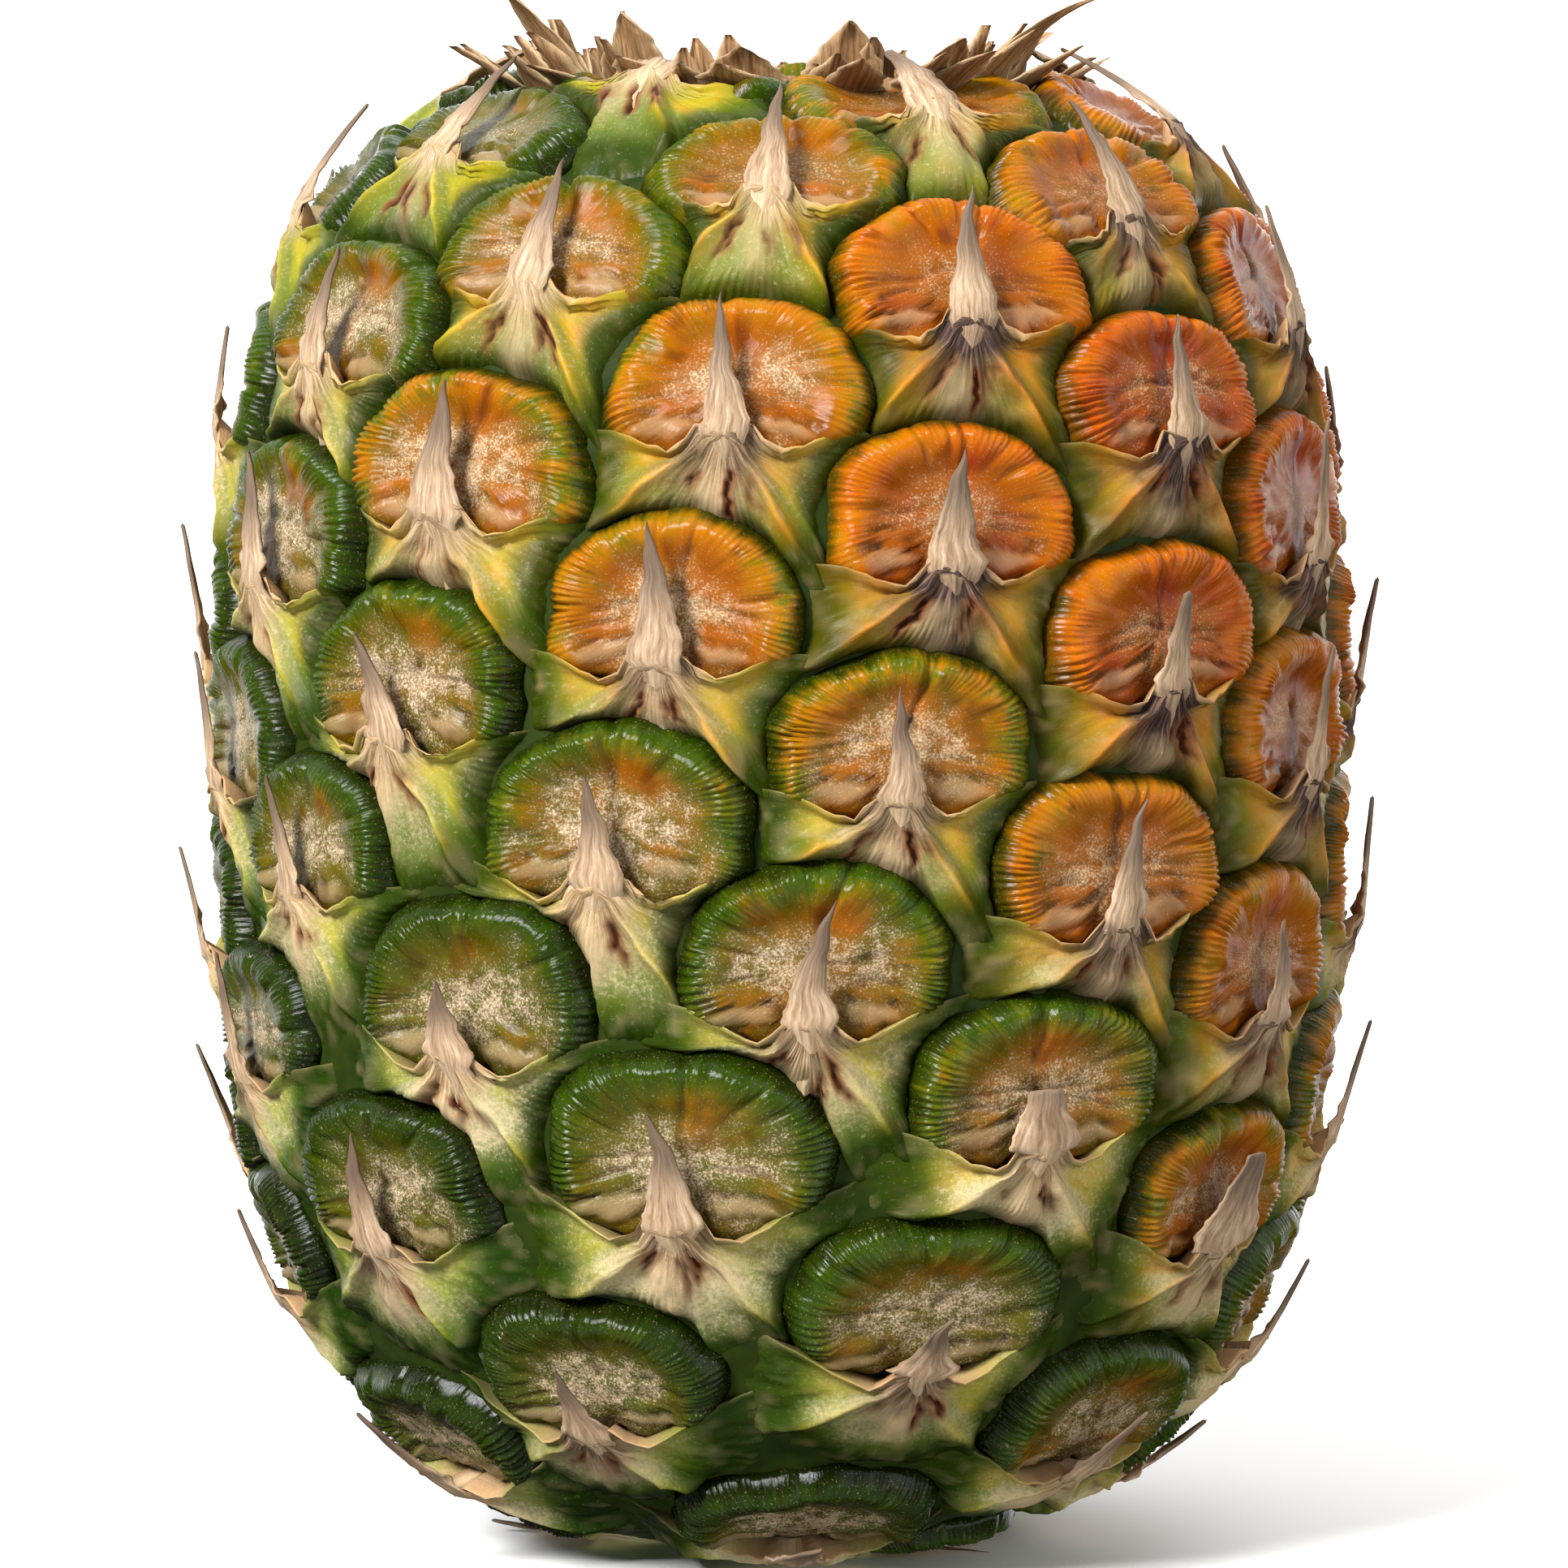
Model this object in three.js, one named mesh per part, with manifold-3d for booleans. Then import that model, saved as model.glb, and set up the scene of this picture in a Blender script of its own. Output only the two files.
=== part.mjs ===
// A whole ripe pineapple with its rind on, standing upright, its crown of leaves twisted off.
// Millimetres, +Z up, the photographed side faces -Y, origin in the middle of the flat spot it stands on.
import * as THREE from "three";
import { ConvexHull } from "three/addons/math/ConvexHull.js";
import { mergeVertices } from "three/addons/utils/BufferGeometryUtils.js";
import Module from "manifold-3d";

// The body: a barrel, each half of its outline a superellipse, the lower cut flat and the upper blunter.
const BODY_RADIUS = 61.5;
const LOWER = { height: 83.3, power: 2.75 };
const UPPER = { height: 79, power: 3.2 };
const BODY_CENTRE = 82; // height of the widest ring above the ground
const CREASE_DEPTH = 4.2; // the creases between the eyes lie this far under the outline
const CLOSEST_POINTS = 1.2; // two points of the skin's mesh are never nearer than this
const PLAIN_POINTS = 400; // points spread over the whole skin, used where no eye has any
const PLAIN_SPACING = 6;
const FLAT_SPOT_RADIUS = 22; // under the fruit the skin is filled out to this radius
const FLAT_SPOT_POINTS = 14;

// The eyes stand on a spiral: each is one golden turn on, and each has the same share of the skin.
const FIRST_EYE = -11;
const LAST_EYE = 81;
const MIDDLE_EYE = 35;
const TURN_OF_MIDDLE = 202.9; // degrees round from the front
const TURN_STEP = -137.813;
const TURN_DRIFT = -0.0048;
const SKIN_BELOW_MIDDLE = 32165; // square mm
const SKIN_STEP = 684.3;
const SKIN_DRIFT = -0.0022;

// Where the real rows bend: eyes near `turn` degrees and `arc` mm up the skin are pushed east and north.
const BENDS = [
  { turn: -55, arc: 77, reach: 36, east: -11.5, north: 10.2 },
  { turn: 56, arc: 58, reach: 36, east: 9.9, north: 3.0 },
  { turn: 69, arc: 168, reach: 39, east: -6.9, north: 5.6 },
];

// Single eyes of the photographed side that stand out of line: mm east and north, by the eye's number.
const SHIFTS = {
  "-3": [2.2, 0.5],
  8: [2.4, -1],
  13: [-1.5, 1],
  23: [-2, 1.8],
  24: [0.8, -2.8],
  29: [0, 2.4],
  34: [3, -0.7],
  36: [0, 3],
  37: [0, -2.4],
  42: [2.2, -0.8],
  45: [0.8, -2.8],
  49: [-2.4, 0.6],
  50: [2.8, 0],
  52: [-1.3, 0],
  63: [2.8, 0],
  65: [-2, 0.5],
  68: [2, 0],
  70: [-2.4, -1.6],
  76: [2, -1.6],
};

// One eye: a cap of three fused sepals above, a pointed bract below, and the bract's dry spine over the cap.
// Heights are above the outline, so that most are negative.
const CAP = {
  east: 1,
  half: 14.8,
  middle: 5.4,
  above: 10.2,
  below: 8.4,
  power: 2.2,
  crest: 0.78,
  dip: -1.6,
  wall: 1.07,
};
const BRACT = { half: 16.5, lip: 0.6, lift: 1.6, drop: 14, peak: 1.3, ridge: 0.8, edge: -3.2 };
const PEAK = [0, -1]; // of the bract, east and north of the node
const PEAK_SPREAD = 30;
const RIDGE_SLOPE = 0.75; // mm of north lost for each mm east along a bract's ridges
const RIDGE_SPREAD = 3;
const SPINE = { width: 6.6, length: 12.4, thickness: 1.2, rise: 2.4, start: -2.5, root: 0.9, shortest: 0.85 };
const CAP_RAYS = { count: 9, from: -15, turn: 210 }; // lines from a cap's middle over its crest to the crease
const BRACT_RAYS = { count: 5, from: -160, turn: 140 }; // and from the peak of a bract down to the crease
const RAY_STEP = 0.35;
const RAY_LENGTH = 17;
const SIZE_SPREAD = 0.06;
const CROWDED = { share: 0.74, from: 8, to: 40 }; // near both ends, at these radii, eyes shrink to this share
const SPINE_SPREAD = 2.2; // mm that a spine's tip leans to either side

// The scar of the crown: a shallow bowl in the top, a little higher in front, with torn leaf bases round it.
const SCAR = { height: 157.2, radius: 27, floor: -5.5, floorRadius: 15, tilt: -3, sides: 40 };
const SCAR_SLOPE = -SCAR.floor / (SCAR.radius - SCAR.floorRadius);
const TOOL_REACH = 40; // how far a cutting tool runs out past the body
const CLEARANCE = 0.35; // gap between a leaf base and the scar
const LEAF_THICKNESS = 0.9;

// Leaf bases, turn in degrees from the front, the rest in mm, lean and twist in degrees.
const LEAVES = [
  { turn: -68, radius: 23.5, width: 8.5, length: 13, lean: 30, bow: 2, twist: 20 },
  { turn: -102, radius: 22.5, width: 8, length: 9, lean: 10, bow: 1, twist: -10 },
  { turn: -38, radius: 24, width: 11, length: 8.5, lean: 14, bow: 1, twist: -12 },
  { turn: -9, radius: 23.5, width: 9.4, length: 5, lean: 24, bow: 1, twist: 8 },
  { turn: 17, radius: 23.5, width: 10, length: 7.5, lean: 8, bow: 0, twist: -8 },
  { turn: 44, radius: 24, width: 9, length: 6, lean: 24, bow: 1, twist: 12 },
  { turn: 72, radius: 22.5, width: 10, length: 14, lean: 40, bow: 4, twist: -14 },
  { turn: 100, radius: 22.5, width: 9, length: 9, lean: 34, bow: 2, twist: 12 },
  { turn: 127, radius: 23.5, width: 8.6, length: 5, lean: 30, bow: 1, twist: -10 },
  { turn: 152, radius: 23.5, width: 8.6, length: 4, lean: 30, bow: 1, twist: 8 },
  { turn: 178, radius: 23.5, width: 8.6, length: 3.5, lean: 34, bow: 1, twist: -8 },
  { turn: -156, radius: 23.5, width: 8.6, length: 4, lean: 30, bow: 1, twist: 10 },
  { turn: -129, radius: 23.5, width: 8.2, length: 5.5, lean: 26, bow: 2, twist: -8 },
];
const LEAF_ROWS = 6;
const LEAF_COLUMNS = 4;
const LEAF_TAPER = 0.93; // share of its width that a leaf base loses on the way to its tip
const LEAF_CUP = 1.4; // mm that the foot of a leaf base is hollowed
const LEAF_WAVE = 0.5; // mm that its torn end waves

const wasm = await Module();
wasm.setup();

// Repeatable draw from 0 to 1 for eye or leaf `index` and quality `kind`.
function draw(index, kind) {
  const wave = Math.sin(index * 12.9898 + kind * 78.233) * 43758.5453;
  return wave - Math.floor(wave);
}

// The same draw spread evenly over -size to size.
function spread(index, kind, size) {
  return (2 * draw(index, kind) - 1) * size;
}

// How far out a point is, 1 on the skin: `radius` from the axis and `height` over the widest ring.
function skinShare(radius, height) {
  const half = height < 0 ? LOWER : UPPER;
  const across = (radius / BODY_RADIUS) ** half.power;
  const up = (Math.abs(height) / half.height) ** half.power;
  return (across + up) ** (1 / half.power);
}

// The outline from the bottom pole to the top one, with arc length and skin area counted on the way.
function bodyOutline() {
  const steps = 1200;
  const outline = [];
  let arc = 0;
  let skin = 0;
  for (let i = 0; i <= steps; i++) {
    const angle = -Math.PI / 2 + (Math.PI * i) / steps;
    const across = Math.max(Math.cos(angle), 0);
    const up = Math.sin(angle);
    const reach = 1 / skinShare(across, up);
    const point = { radius: across * reach, height: up * reach };
    if (i > 0) {
      const last = outline[i - 1];
      const step = Math.hypot(point.radius - last.radius, point.height - last.height);
      arc += step;
      skin += Math.PI * (point.radius + last.radius) * step;
    }
    outline.push({ ...point, arc, skin });
  }
  return outline;
}

const OUTLINE = bodyOutline();

// The outline's point where `key` (arc or skin) has the value given.
function outlineAt(key, value) {
  let i = 1;
  while (i < OUTLINE.length - 1 && OUTLINE[i][key] < value) i++;
  const [a, b] = [OUTLINE[i - 1], OUTLINE[i]];
  const share = THREE.MathUtils.clamp((value - a[key]) / (b[key] - a[key]), 0, 1);
  const mixed = {};
  for (const name of ["radius", "height", "arc"]) mixed[name] = a[name] + (b[name] - a[name]) * share;
  return mixed;
}

// Any point near the body, drawn onto its skin from the centre and lifted by `height` along the normal.
function ontoSkin(point, height) {
  const half = point.z < 0 ? LOWER : UPPER;
  const skin = point.clone().divideScalar(skinShare(Math.hypot(point.x, point.y), point.z));
  const skinRadius = Math.hypot(skin.x, skin.y);
  const outward = (skinRadius / BODY_RADIUS) ** (half.power - 1) / BODY_RADIUS;
  const upward = (Math.abs(skin.z) / half.height) ** (half.power - 1) / half.height;
  const normal = new THREE.Vector3(
    (skin.x / skinRadius) * outward,
    (skin.y / skinRadius) * outward,
    Math.sign(skin.z) * upward,
  ).normalize();
  return { place: skin.addScaledVector(normal, height), normal };
}

// The local frame of eye `index`: its place on the skin, east, north, and its size.
function eyeAt(index) {
  const steps = index - MIDDLE_EYE;
  let turn = THREE.MathUtils.degToRad(TURN_OF_MIDDLE + TURN_STEP * steps + TURN_DRIFT * steps ** 2);
  const skin = SKIN_BELOW_MIDDLE + SKIN_STEP * steps + SKIN_DRIFT * steps ** 2;
  const start = outlineAt("skin", skin);
  let arc = start.arc;
  for (const bend of BENDS) {
    const away = turn - THREE.MathUtils.degToRad(bend.turn);
    const beside = Math.atan2(Math.sin(away), Math.cos(away)) * start.radius;
    const push = Math.exp(-(beside ** 2 + (start.arc - bend.arc) ** 2) / bend.reach ** 2);
    turn += (push * bend.east) / start.radius;
    arc += push * bend.north;
  }
  const [east, north] = SHIFTS[index] ?? [0, 0];
  turn += east / start.radius;
  const { radius, height } = outlineAt("arc", arc + north);
  const { place, normal } = ontoSkin(
    new THREE.Vector3(radius * Math.sin(turn), -radius * Math.cos(turn), height),
    0,
  );
  const eastward = new THREE.Vector3(Math.cos(turn), Math.sin(turn), 0);
  const northward = new THREE.Vector3().crossVectors(normal, eastward);
  const room = THREE.MathUtils.smoothstep(radius, CROWDED.from, CROWDED.to);
  const size = THREE.MathUtils.lerp(CROWDED.share, 1, room) * (1 + spread(index, 1, SIZE_SPREAD));
  return { index, place, normal, eastward, northward, size };
}

// The point of the eye's tangent plane east and north of its node, in mm before the eye's own size.
function besideNode(eye, east, north) {
  return eye.place
    .clone()
    .addScaledVector(eye.eastward, east * eye.size)
    .addScaledVector(eye.northward, north * eye.size);
}

// The same point drawn onto the skin and lifted off it.
function eyePoint(eye, east, north, height) {
  const point = ontoSkin(besideNode(eye, east, north), height * eye.size).place;
  point.z += BODY_CENTRE;
  return point;
}

// A closed skin through rings of points, all with the same count, that run anticlockwise seen from `first`.
function ringGeometry(first, rings, last) {
  const sides = rings[0].length;
  const points = [first, ...rings.flat(), last];
  const faces = [];
  const at = (ring, side) => 1 + ring * sides + (side % sides);
  for (let side = 0; side < sides; side++) {
    faces.push(0, at(0, side), at(0, side + 1));
    for (let ring = 1; ring < rings.length; ring++) {
      faces.push(at(ring - 1, side), at(ring, side), at(ring, side + 1));
      faces.push(at(ring - 1, side), at(ring, side + 1), at(ring - 1, side + 1));
    }
    faces.push(at(rings.length - 1, side), points.length - 1, at(rings.length - 1, side + 1));
  }
  return geometryOf(points, faces);
}

function geometryOf(points, faces) {
  const geometry = new THREE.BufferGeometry().setFromPoints(points);
  geometry.setIndex(faces);
  return geometry;
}

// Where `point` of the skin lies on the eye: east and north of its node, in mm before the eye's own size.
function eyeCoordinates(eye, point) {
  const facing = point.dot(eye.normal);
  if (facing <= 0) return null;
  const flat = point.clone().multiplyScalar(eye.place.dot(eye.normal) / facing).sub(eye.place);
  return { east: flat.dot(eye.eastward) / eye.size, north: flat.dot(eye.northward) / eye.size };
}

// The cap: a cushion with a crest round its upper side and a dip inside, falling steeply to the crease.
function capHeight(east, north) {
  const rise = north > CAP.middle ? CAP.above : CAP.below;
  const up = (north - CAP.middle) / rise;
  const across = (east - CAP.east) / CAP.half;
  const share = (Math.abs(across) ** CAP.power + Math.abs(up) ** CAP.power) ** (1 / CAP.power);
  const crested = THREE.MathUtils.smoothstep(up, -0.7, 0.3);
  const cushion = CAP.dip * (1 - crested * THREE.MathUtils.smoothstep(share, 0.3, CAP.crest));
  const wall = THREE.MathUtils.smoothstep(share, CAP.crest, CAP.wall);
  return cushion - wall * (CREASE_DEPTH + 1);
}

function lipAt(east) {
  return BRACT.lip + BRACT.lift * (east / BRACT.half) ** 2;
}

function lobeAt(east) {
  const corner = BRACT.lip + BRACT.lift;
  const across = Math.min(Math.abs(east) / BRACT.half, 1);
  return corner - (corner + BRACT.drop) * (1 - across ** 2.6) ** 0.8;
}

// The bract: a tent with its peak at the node, a ridge down to either side, a proud lip and a low lobe.
function bractHeight(east, north) {
  const underLip = lipAt(east) - north;
  const overLobe = north - lobeAt(east);
  if (underLip < 0 || overLobe < 0) return -Infinity;
  const share = overLobe / (overLobe + underLip);
  const lip = -0.5 - 1.8 * Math.abs(east / BRACT.half);
  const peak = BRACT.peak * Math.exp(-((east - PEAK[0]) ** 2 + (north - PEAK[1]) ** 2) / PEAK_SPREAD);
  const fromRidge = Math.abs(east) + RIDGE_SLOPE * Math.min(north, 0);
  const ridge = BRACT.ridge * Math.exp(-(fromRidge ** 2) / RIDGE_SPREAD);
  return BRACT.edge + (lip - BRACT.edge) * share ** 0.6 + peak + ridge * Math.min(share * 3, 1);
}

function eyeHeight(east, north) {
  return Math.max(capHeight(east, north), bractHeight(east, north));
}

// The highest of the eyes round a point of the skin, and no lower than the creases.
function skinHeight(point, eyes) {
  const filled = point.z < 0 && Math.hypot(point.x, point.y) < FLAT_SPOT_RADIUS;
  let height = filled ? 0 : -CREASE_DEPTH;
  for (const eye of eyes) {
    if (eye.place.distanceTo(point) > 2 * BRACT.half) continue;
    const local = eyeCoordinates(eye, point);
    if (local) height = Math.max(height, eyeHeight(local.east, local.north) * eye.size);
  }
  return height;
}

// Two points of an eye along a line from a start: its crest, and the crease where a neighbour rises over it.
function rayPoints(eye, rivals, start, angle, heightAt, crestShare) {
  const at = (length) => [start[0] + length * Math.cos(angle), start[1] + length * Math.sin(angle)];
  let length = RAY_STEP;
  while (length < RAY_LENGTH) {
    const [east, north] = at(length);
    const own = heightAt(east, north) * eye.size;
    if (own < skinHeight(ontoSkin(besideNode(eye, east, north), 0).place, rivals)) break;
    length += RAY_STEP;
  }
  return length > 3 ? [at(length * crestShare), at(length)] : [];
}

// The places on an eye that its shape needs: dip, crest and foot of the cap, the lip and foot of the bract.
function eyeFeatures(eye, eyes) {
  const rivals = eyes.filter((other) => other !== eye && other.place.distanceTo(eye.place) < 4 * CAP.half);
  const features = [[0, CAP.middle - 2], [-5, CAP.middle - 1], [5, CAP.middle - 1], PEAK];
  for (const share of [-0.85, -0.5, 0, 0.5, 0.85]) {
    const east = share * BRACT.half;
    features.push([east, lipAt(east) - 0.3], [east, lipAt(east) + 0.8]);
  }
  const raysFrom = (start, rays, heightAt, crestShare) => {
    for (let ray = 0; ray < rays.count; ray++) {
      const angle = THREE.MathUtils.degToRad(rays.from + (rays.turn * ray) / (rays.count - 1));
      features.push(...rayPoints(eye, rivals, start, angle, heightAt, crestShare));
    }
  };
  raysFrom([CAP.east, CAP.middle], CAP_RAYS, capHeight, CAP.crest);
  raysFrom(PEAK, BRACT_RAYS, bractHeight, 0.6);
  return features;
}

// Points spread evenly over the skin for the places where no eye stands, and rings of them on the flat spot.
function plainPoints() {
  const points = [];
  for (let i = 0; i < PLAIN_POINTS; i++) {
    const up = 1 - (2 * i + 1) / PLAIN_POINTS;
    const turn = Math.PI * (3 - Math.sqrt(5)) * i;
    const across = Math.sqrt(1 - up * up);
    points.push(new THREE.Vector3(across * Math.cos(turn), across * Math.sin(turn), up));
  }
  for (let i = 0; i < FLAT_SPOT_POINTS; i++) {
    const turn = (2 * Math.PI * i) / FLAT_SPOT_POINTS;
    for (const share of [0.45, 0.95]) {
      const across = FLAT_SPOT_RADIUS * share;
      points.push(new THREE.Vector3(across * Math.cos(turn), across * Math.sin(turn), -LOWER.height));
    }
  }
  return points.map((point) => ontoSkin(point, 0).place);
}

// The skin's mesh: the eyes' features joined up as a hull round the centre, then each set to its height.
function skinGeometry(eyes) {
  const kept = [];
  const keep = (point, gap) => {
    if (kept.every((other) => other.distanceTo(point) > gap)) kept.push(point);
  };
  for (const eye of eyes) {
    for (const [east, north] of eyeFeatures(eye, eyes)) {
      keep(ontoSkin(besideNode(eye, east, north), 0).place, CLOSEST_POINTS);
    }
  }
  for (const point of plainPoints()) keep(point, PLAIN_SPACING);
  const directions = kept.map((point) => point.clone().normalize());
  const numbers = new Map(directions.map((direction, i) => [direction, i]));
  const faces = [];
  for (const face of new ConvexHull().setFromPoints(directions).faces) {
    for (const edge of [face.edge, face.edge.next, face.edge.next.next]) {
      faces.push(numbers.get(edge.head().point));
    }
  }
  const places = kept.map((point) => ontoSkin(point, skinHeight(point, eyes)).place);
  for (const place of places) place.z += BODY_CENTRE;
  return geometryOf(places, faces);
}

// A thin dry blade that starts inside the bract, bows up off the cap and ends in a point.
function spineGeometry(eye) {
  const length = SPINE.length * (1 + spread(eye.index, 2, 1 - SPINE.shortest));
  const lean = spread(eye.index, 3, SPINE_SPREAD);
  const section = (share) => {
    const half = (SPINE.width / 2) * (1 - share) ** 0.7;
    const north = SPINE.start + (length - SPINE.start) * share;
    const middle = BRACT.peak - SPINE.root + SPINE.rise * share ** 1.2;
    const east = lean * share ** 2;
    const thick = SPINE.thickness * (1 - 0.6 * share);
    return [
      eyePoint(eye, east - half, north, middle),
      eyePoint(eye, east, north, middle + thick),
      eyePoint(eye, east + half, north, middle),
      eyePoint(eye, east, north, middle - thick / 2),
    ];
  };
  const tip = eyePoint(eye, lean, length, BRACT.peak + SPINE.rise);
  const base = eyePoint(eye, 0, SPINE.start - 1, BRACT.peak - SPINE.root - 0.5);
  return ringGeometry(tip, [section(0.6), section(0.04)], base);
}

// A closed geometry as a solid; a turned outline's poles lose the faces that have no area.
function solidOf(geometry) {
  const bare = new THREE.BufferGeometry().setAttribute("position", geometry.getAttribute("position"));
  bare.setIndex(geometry.index);
  const merged = mergeVertices(bare, 1e-3);
  const corners = merged.index.array;
  const faces = [];
  for (let i = 0; i < corners.length; i += 3) {
    const [a, b, c] = [corners[i], corners[i + 1], corners[i + 2]];
    if (a !== b && b !== c && c !== a) faces.push(a, b, c);
  }
  const mesh = new wasm.Mesh({
    numProp: 3,
    vertProperties: merged.getAttribute("position").array,
    triVerts: new Uint32Array(faces),
  });
  return new wasm.Manifold(mesh);
}

// A turned outline of [radius, height] pairs, standing upright.
function turned(outline, sides) {
  const points = outline.map(([radius, height]) => new THREE.Vector2(radius, height));
  return new THREE.LatheGeometry(points, sides).rotateX(Math.PI / 2);
}

// What the torn-off crown left free: the space above the bowl.
function scarTool() {
  const outline = [
    [0, SCAR.floor + 0.8],
    [SCAR.floorRadius, SCAR.floor],
    [SCAR.radius, 0],
    [SCAR.radius + 6, TOOL_REACH],
    [0, TOOL_REACH],
  ];
  const bowl = turned(outline, SCAR.sides);
  return solidOf(bowl.rotateX(THREE.MathUtils.degToRad(SCAR.tilt)).translate(0, 0, SCAR.height));
}

// Everything under the ground, so that the fruit stands on a flat spot.
function groundTool() {
  const side = 2 * (BODY_RADIUS + TOOL_REACH);
  return solidOf(new THREE.BoxGeometry(side, side, TOOL_REACH).translate(0, 0, -TOOL_REACH / 2));
}

function geometryFrom(solid) {
  const mesh = solid.getMesh();
  const geometry = new THREE.BufferGeometry();
  geometry.setAttribute("position", new THREE.BufferAttribute(mesh.vertProperties, 3));
  geometry.setIndex(new THREE.BufferAttribute(mesh.triVerts, 1));
  return geometry;
}

// The whole fruit as one body: its skin with the spines fused on, the scar cut in and the foot cut flat.
function fruitGeometry() {
  const eyes = [];
  for (let index = FIRST_EYE; index <= LAST_EYE; index++) eyes.push(eyeAt(index));
  let fruit = solidOf(skinGeometry(eyes));
  for (const eye of eyes) fruit = fruit.add(solidOf(spineGeometry(eye)));
  fruit = fruit.subtract(scarTool()).subtract(groundTool());
  // Corners that all but touch are merged; then hollows sealed between fused parts are filled and scraps go.
  const bodies = solidOf(geometryFrom(fruit)).decompose();
  return geometryFrom(bodies.reduce((a, b) => (b.volume() > a.volume() ? b : a)));
}

// A closed thin sheet between a front and a back grid, each cell of both split along the same diagonal.
function sheetGeometry(front, back) {
  const rows = front.length;
  const columns = front[0].length;
  const points = [...front.flat(), ...back.flat()];
  const at = (row, column) => row * columns + column;
  const behind = rows * columns;
  const faces = [];
  for (let row = 0; row < rows - 1; row++) {
    for (let column = 0; column < columns - 1; column++) {
      const [a, b] = [at(row, column), at(row, column + 1)];
      const [c, d] = [at(row + 1, column + 1), at(row + 1, column)];
      faces.push(a, b, c, a, c, d);
      faces.push(behind + a, behind + c, behind + b, behind + a, behind + d, behind + c);
    }
  }
  const edge = (a, b) => faces.push(a, behind + b, b, a, behind + a, behind + b);
  for (let column = 0; column < columns - 1; column++) {
    edge(at(0, column), at(0, column + 1));
    edge(at(rows - 1, column + 1), at(rows - 1, column));
  }
  for (let row = 0; row < rows - 1; row++) {
    edge(at(row + 1, 0), at(row, 0));
    edge(at(row, columns - 1), at(row + 1, columns - 1));
  }
  return geometryOf(points, faces);
}

// A torn leaf base in its own frame: x across, z up, outer side facing -y, its foot cut to the bowl's slope.
function leafGeometry(leaf, index) {
  const lean = THREE.MathUtils.degToRad(leaf.lean);
  const twist = THREE.MathUtils.degToRad(leaf.twist);
  const grid = (depth) => {
    const rows = [];
    for (let row = 0; row < LEAF_ROWS; row++) {
      const share = row / (LEAF_ROWS - 1);
      const half = (leaf.width / 2) * (1 - LEAF_TAPER * share ** 1.5);
      const turn = twist * share;
      const out = leaf.length * share * Math.sin(lean) + leaf.bow * share ** 2;
      const line = [];
      for (let column = 0; column < LEAF_COLUMNS; column++) {
        const across = (2 * column) / (LEAF_COLUMNS - 1) - 1;
        const cup = LEAF_CUP * across ** 2 * (1 - share);
        const wave = LEAF_WAVE * Math.sin(3 * across + 5 * draw(index, 4)) * share;
        const x = half * across * Math.cos(turn);
        const y = half * across * Math.sin(turn) - out + cup + wave + depth * (1 - 0.4 * share);
        const foot = -SCAR_SLOPE * y * (1 - share);
        line.push(new THREE.Vector3(x, y, foot + leaf.length * share * Math.cos(lean)));
      }
      rows.push(line);
    }
    return rows;
  };
  return sheetGeometry(grid(-LEAF_THICKNESS / 2), grid(LEAF_THICKNESS / 2));
}

function rindMaterial() {
  return new THREE.MeshStandardMaterial({ color: 0xa0781f, roughness: 0.5, flatShading: true });
}

function dryLeafMaterial() {
  return new THREE.MeshStandardMaterial({ color: 0xb08e68, roughness: 0.85, flatShading: true });
}

// The torn leaf bases stand round the scar, each on the bowl's slope.
function crownScar() {
  const group = new THREE.Group();
  group.position.z = SCAR.height;
  group.rotation.x = THREE.MathUtils.degToRad(SCAR.tilt);
  const material = dryLeafMaterial();
  LEAVES.forEach((leaf, i) => {
    const mesh = new THREE.Mesh(leafGeometry(leaf, i), material);
    mesh.name = "crown_leaf_" + String(i + 1).padStart(2, "0");
    const turn = THREE.MathUtils.degToRad(leaf.turn);
    const height = SCAR_SLOPE * (leaf.radius - SCAR.radius) + CLEARANCE;
    mesh.position.set(leaf.radius * Math.sin(turn), -leaf.radius * Math.cos(turn), height);
    mesh.rotation.z = turn;
    group.add(mesh);
  });
  return group;
}

const pineapple = new THREE.Group();
const fruit = new THREE.Mesh(fruitGeometry(), rindMaterial());
fruit.name = "fruit";
pineapple.add(fruit, crownScar());

export default pineapple;
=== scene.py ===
import math

import bpy
import numpy as np
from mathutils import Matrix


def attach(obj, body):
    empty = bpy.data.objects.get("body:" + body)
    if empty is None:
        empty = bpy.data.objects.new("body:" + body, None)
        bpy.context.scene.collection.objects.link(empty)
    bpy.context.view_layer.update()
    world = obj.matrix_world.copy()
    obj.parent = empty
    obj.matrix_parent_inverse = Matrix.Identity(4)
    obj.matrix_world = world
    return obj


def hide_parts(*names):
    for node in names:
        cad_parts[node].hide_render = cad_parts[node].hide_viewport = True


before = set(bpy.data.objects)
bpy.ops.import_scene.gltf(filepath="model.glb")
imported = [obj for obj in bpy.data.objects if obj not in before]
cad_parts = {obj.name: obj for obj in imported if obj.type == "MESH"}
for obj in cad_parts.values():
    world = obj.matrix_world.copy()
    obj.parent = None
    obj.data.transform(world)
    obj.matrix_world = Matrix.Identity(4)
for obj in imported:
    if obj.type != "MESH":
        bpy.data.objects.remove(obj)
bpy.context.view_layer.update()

# A ripe pineapple with its rind on and its crown twisted off, standing on a flat spot.
# Shapes are worked out in mm round the middle of the body, and stored in metres.

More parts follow.
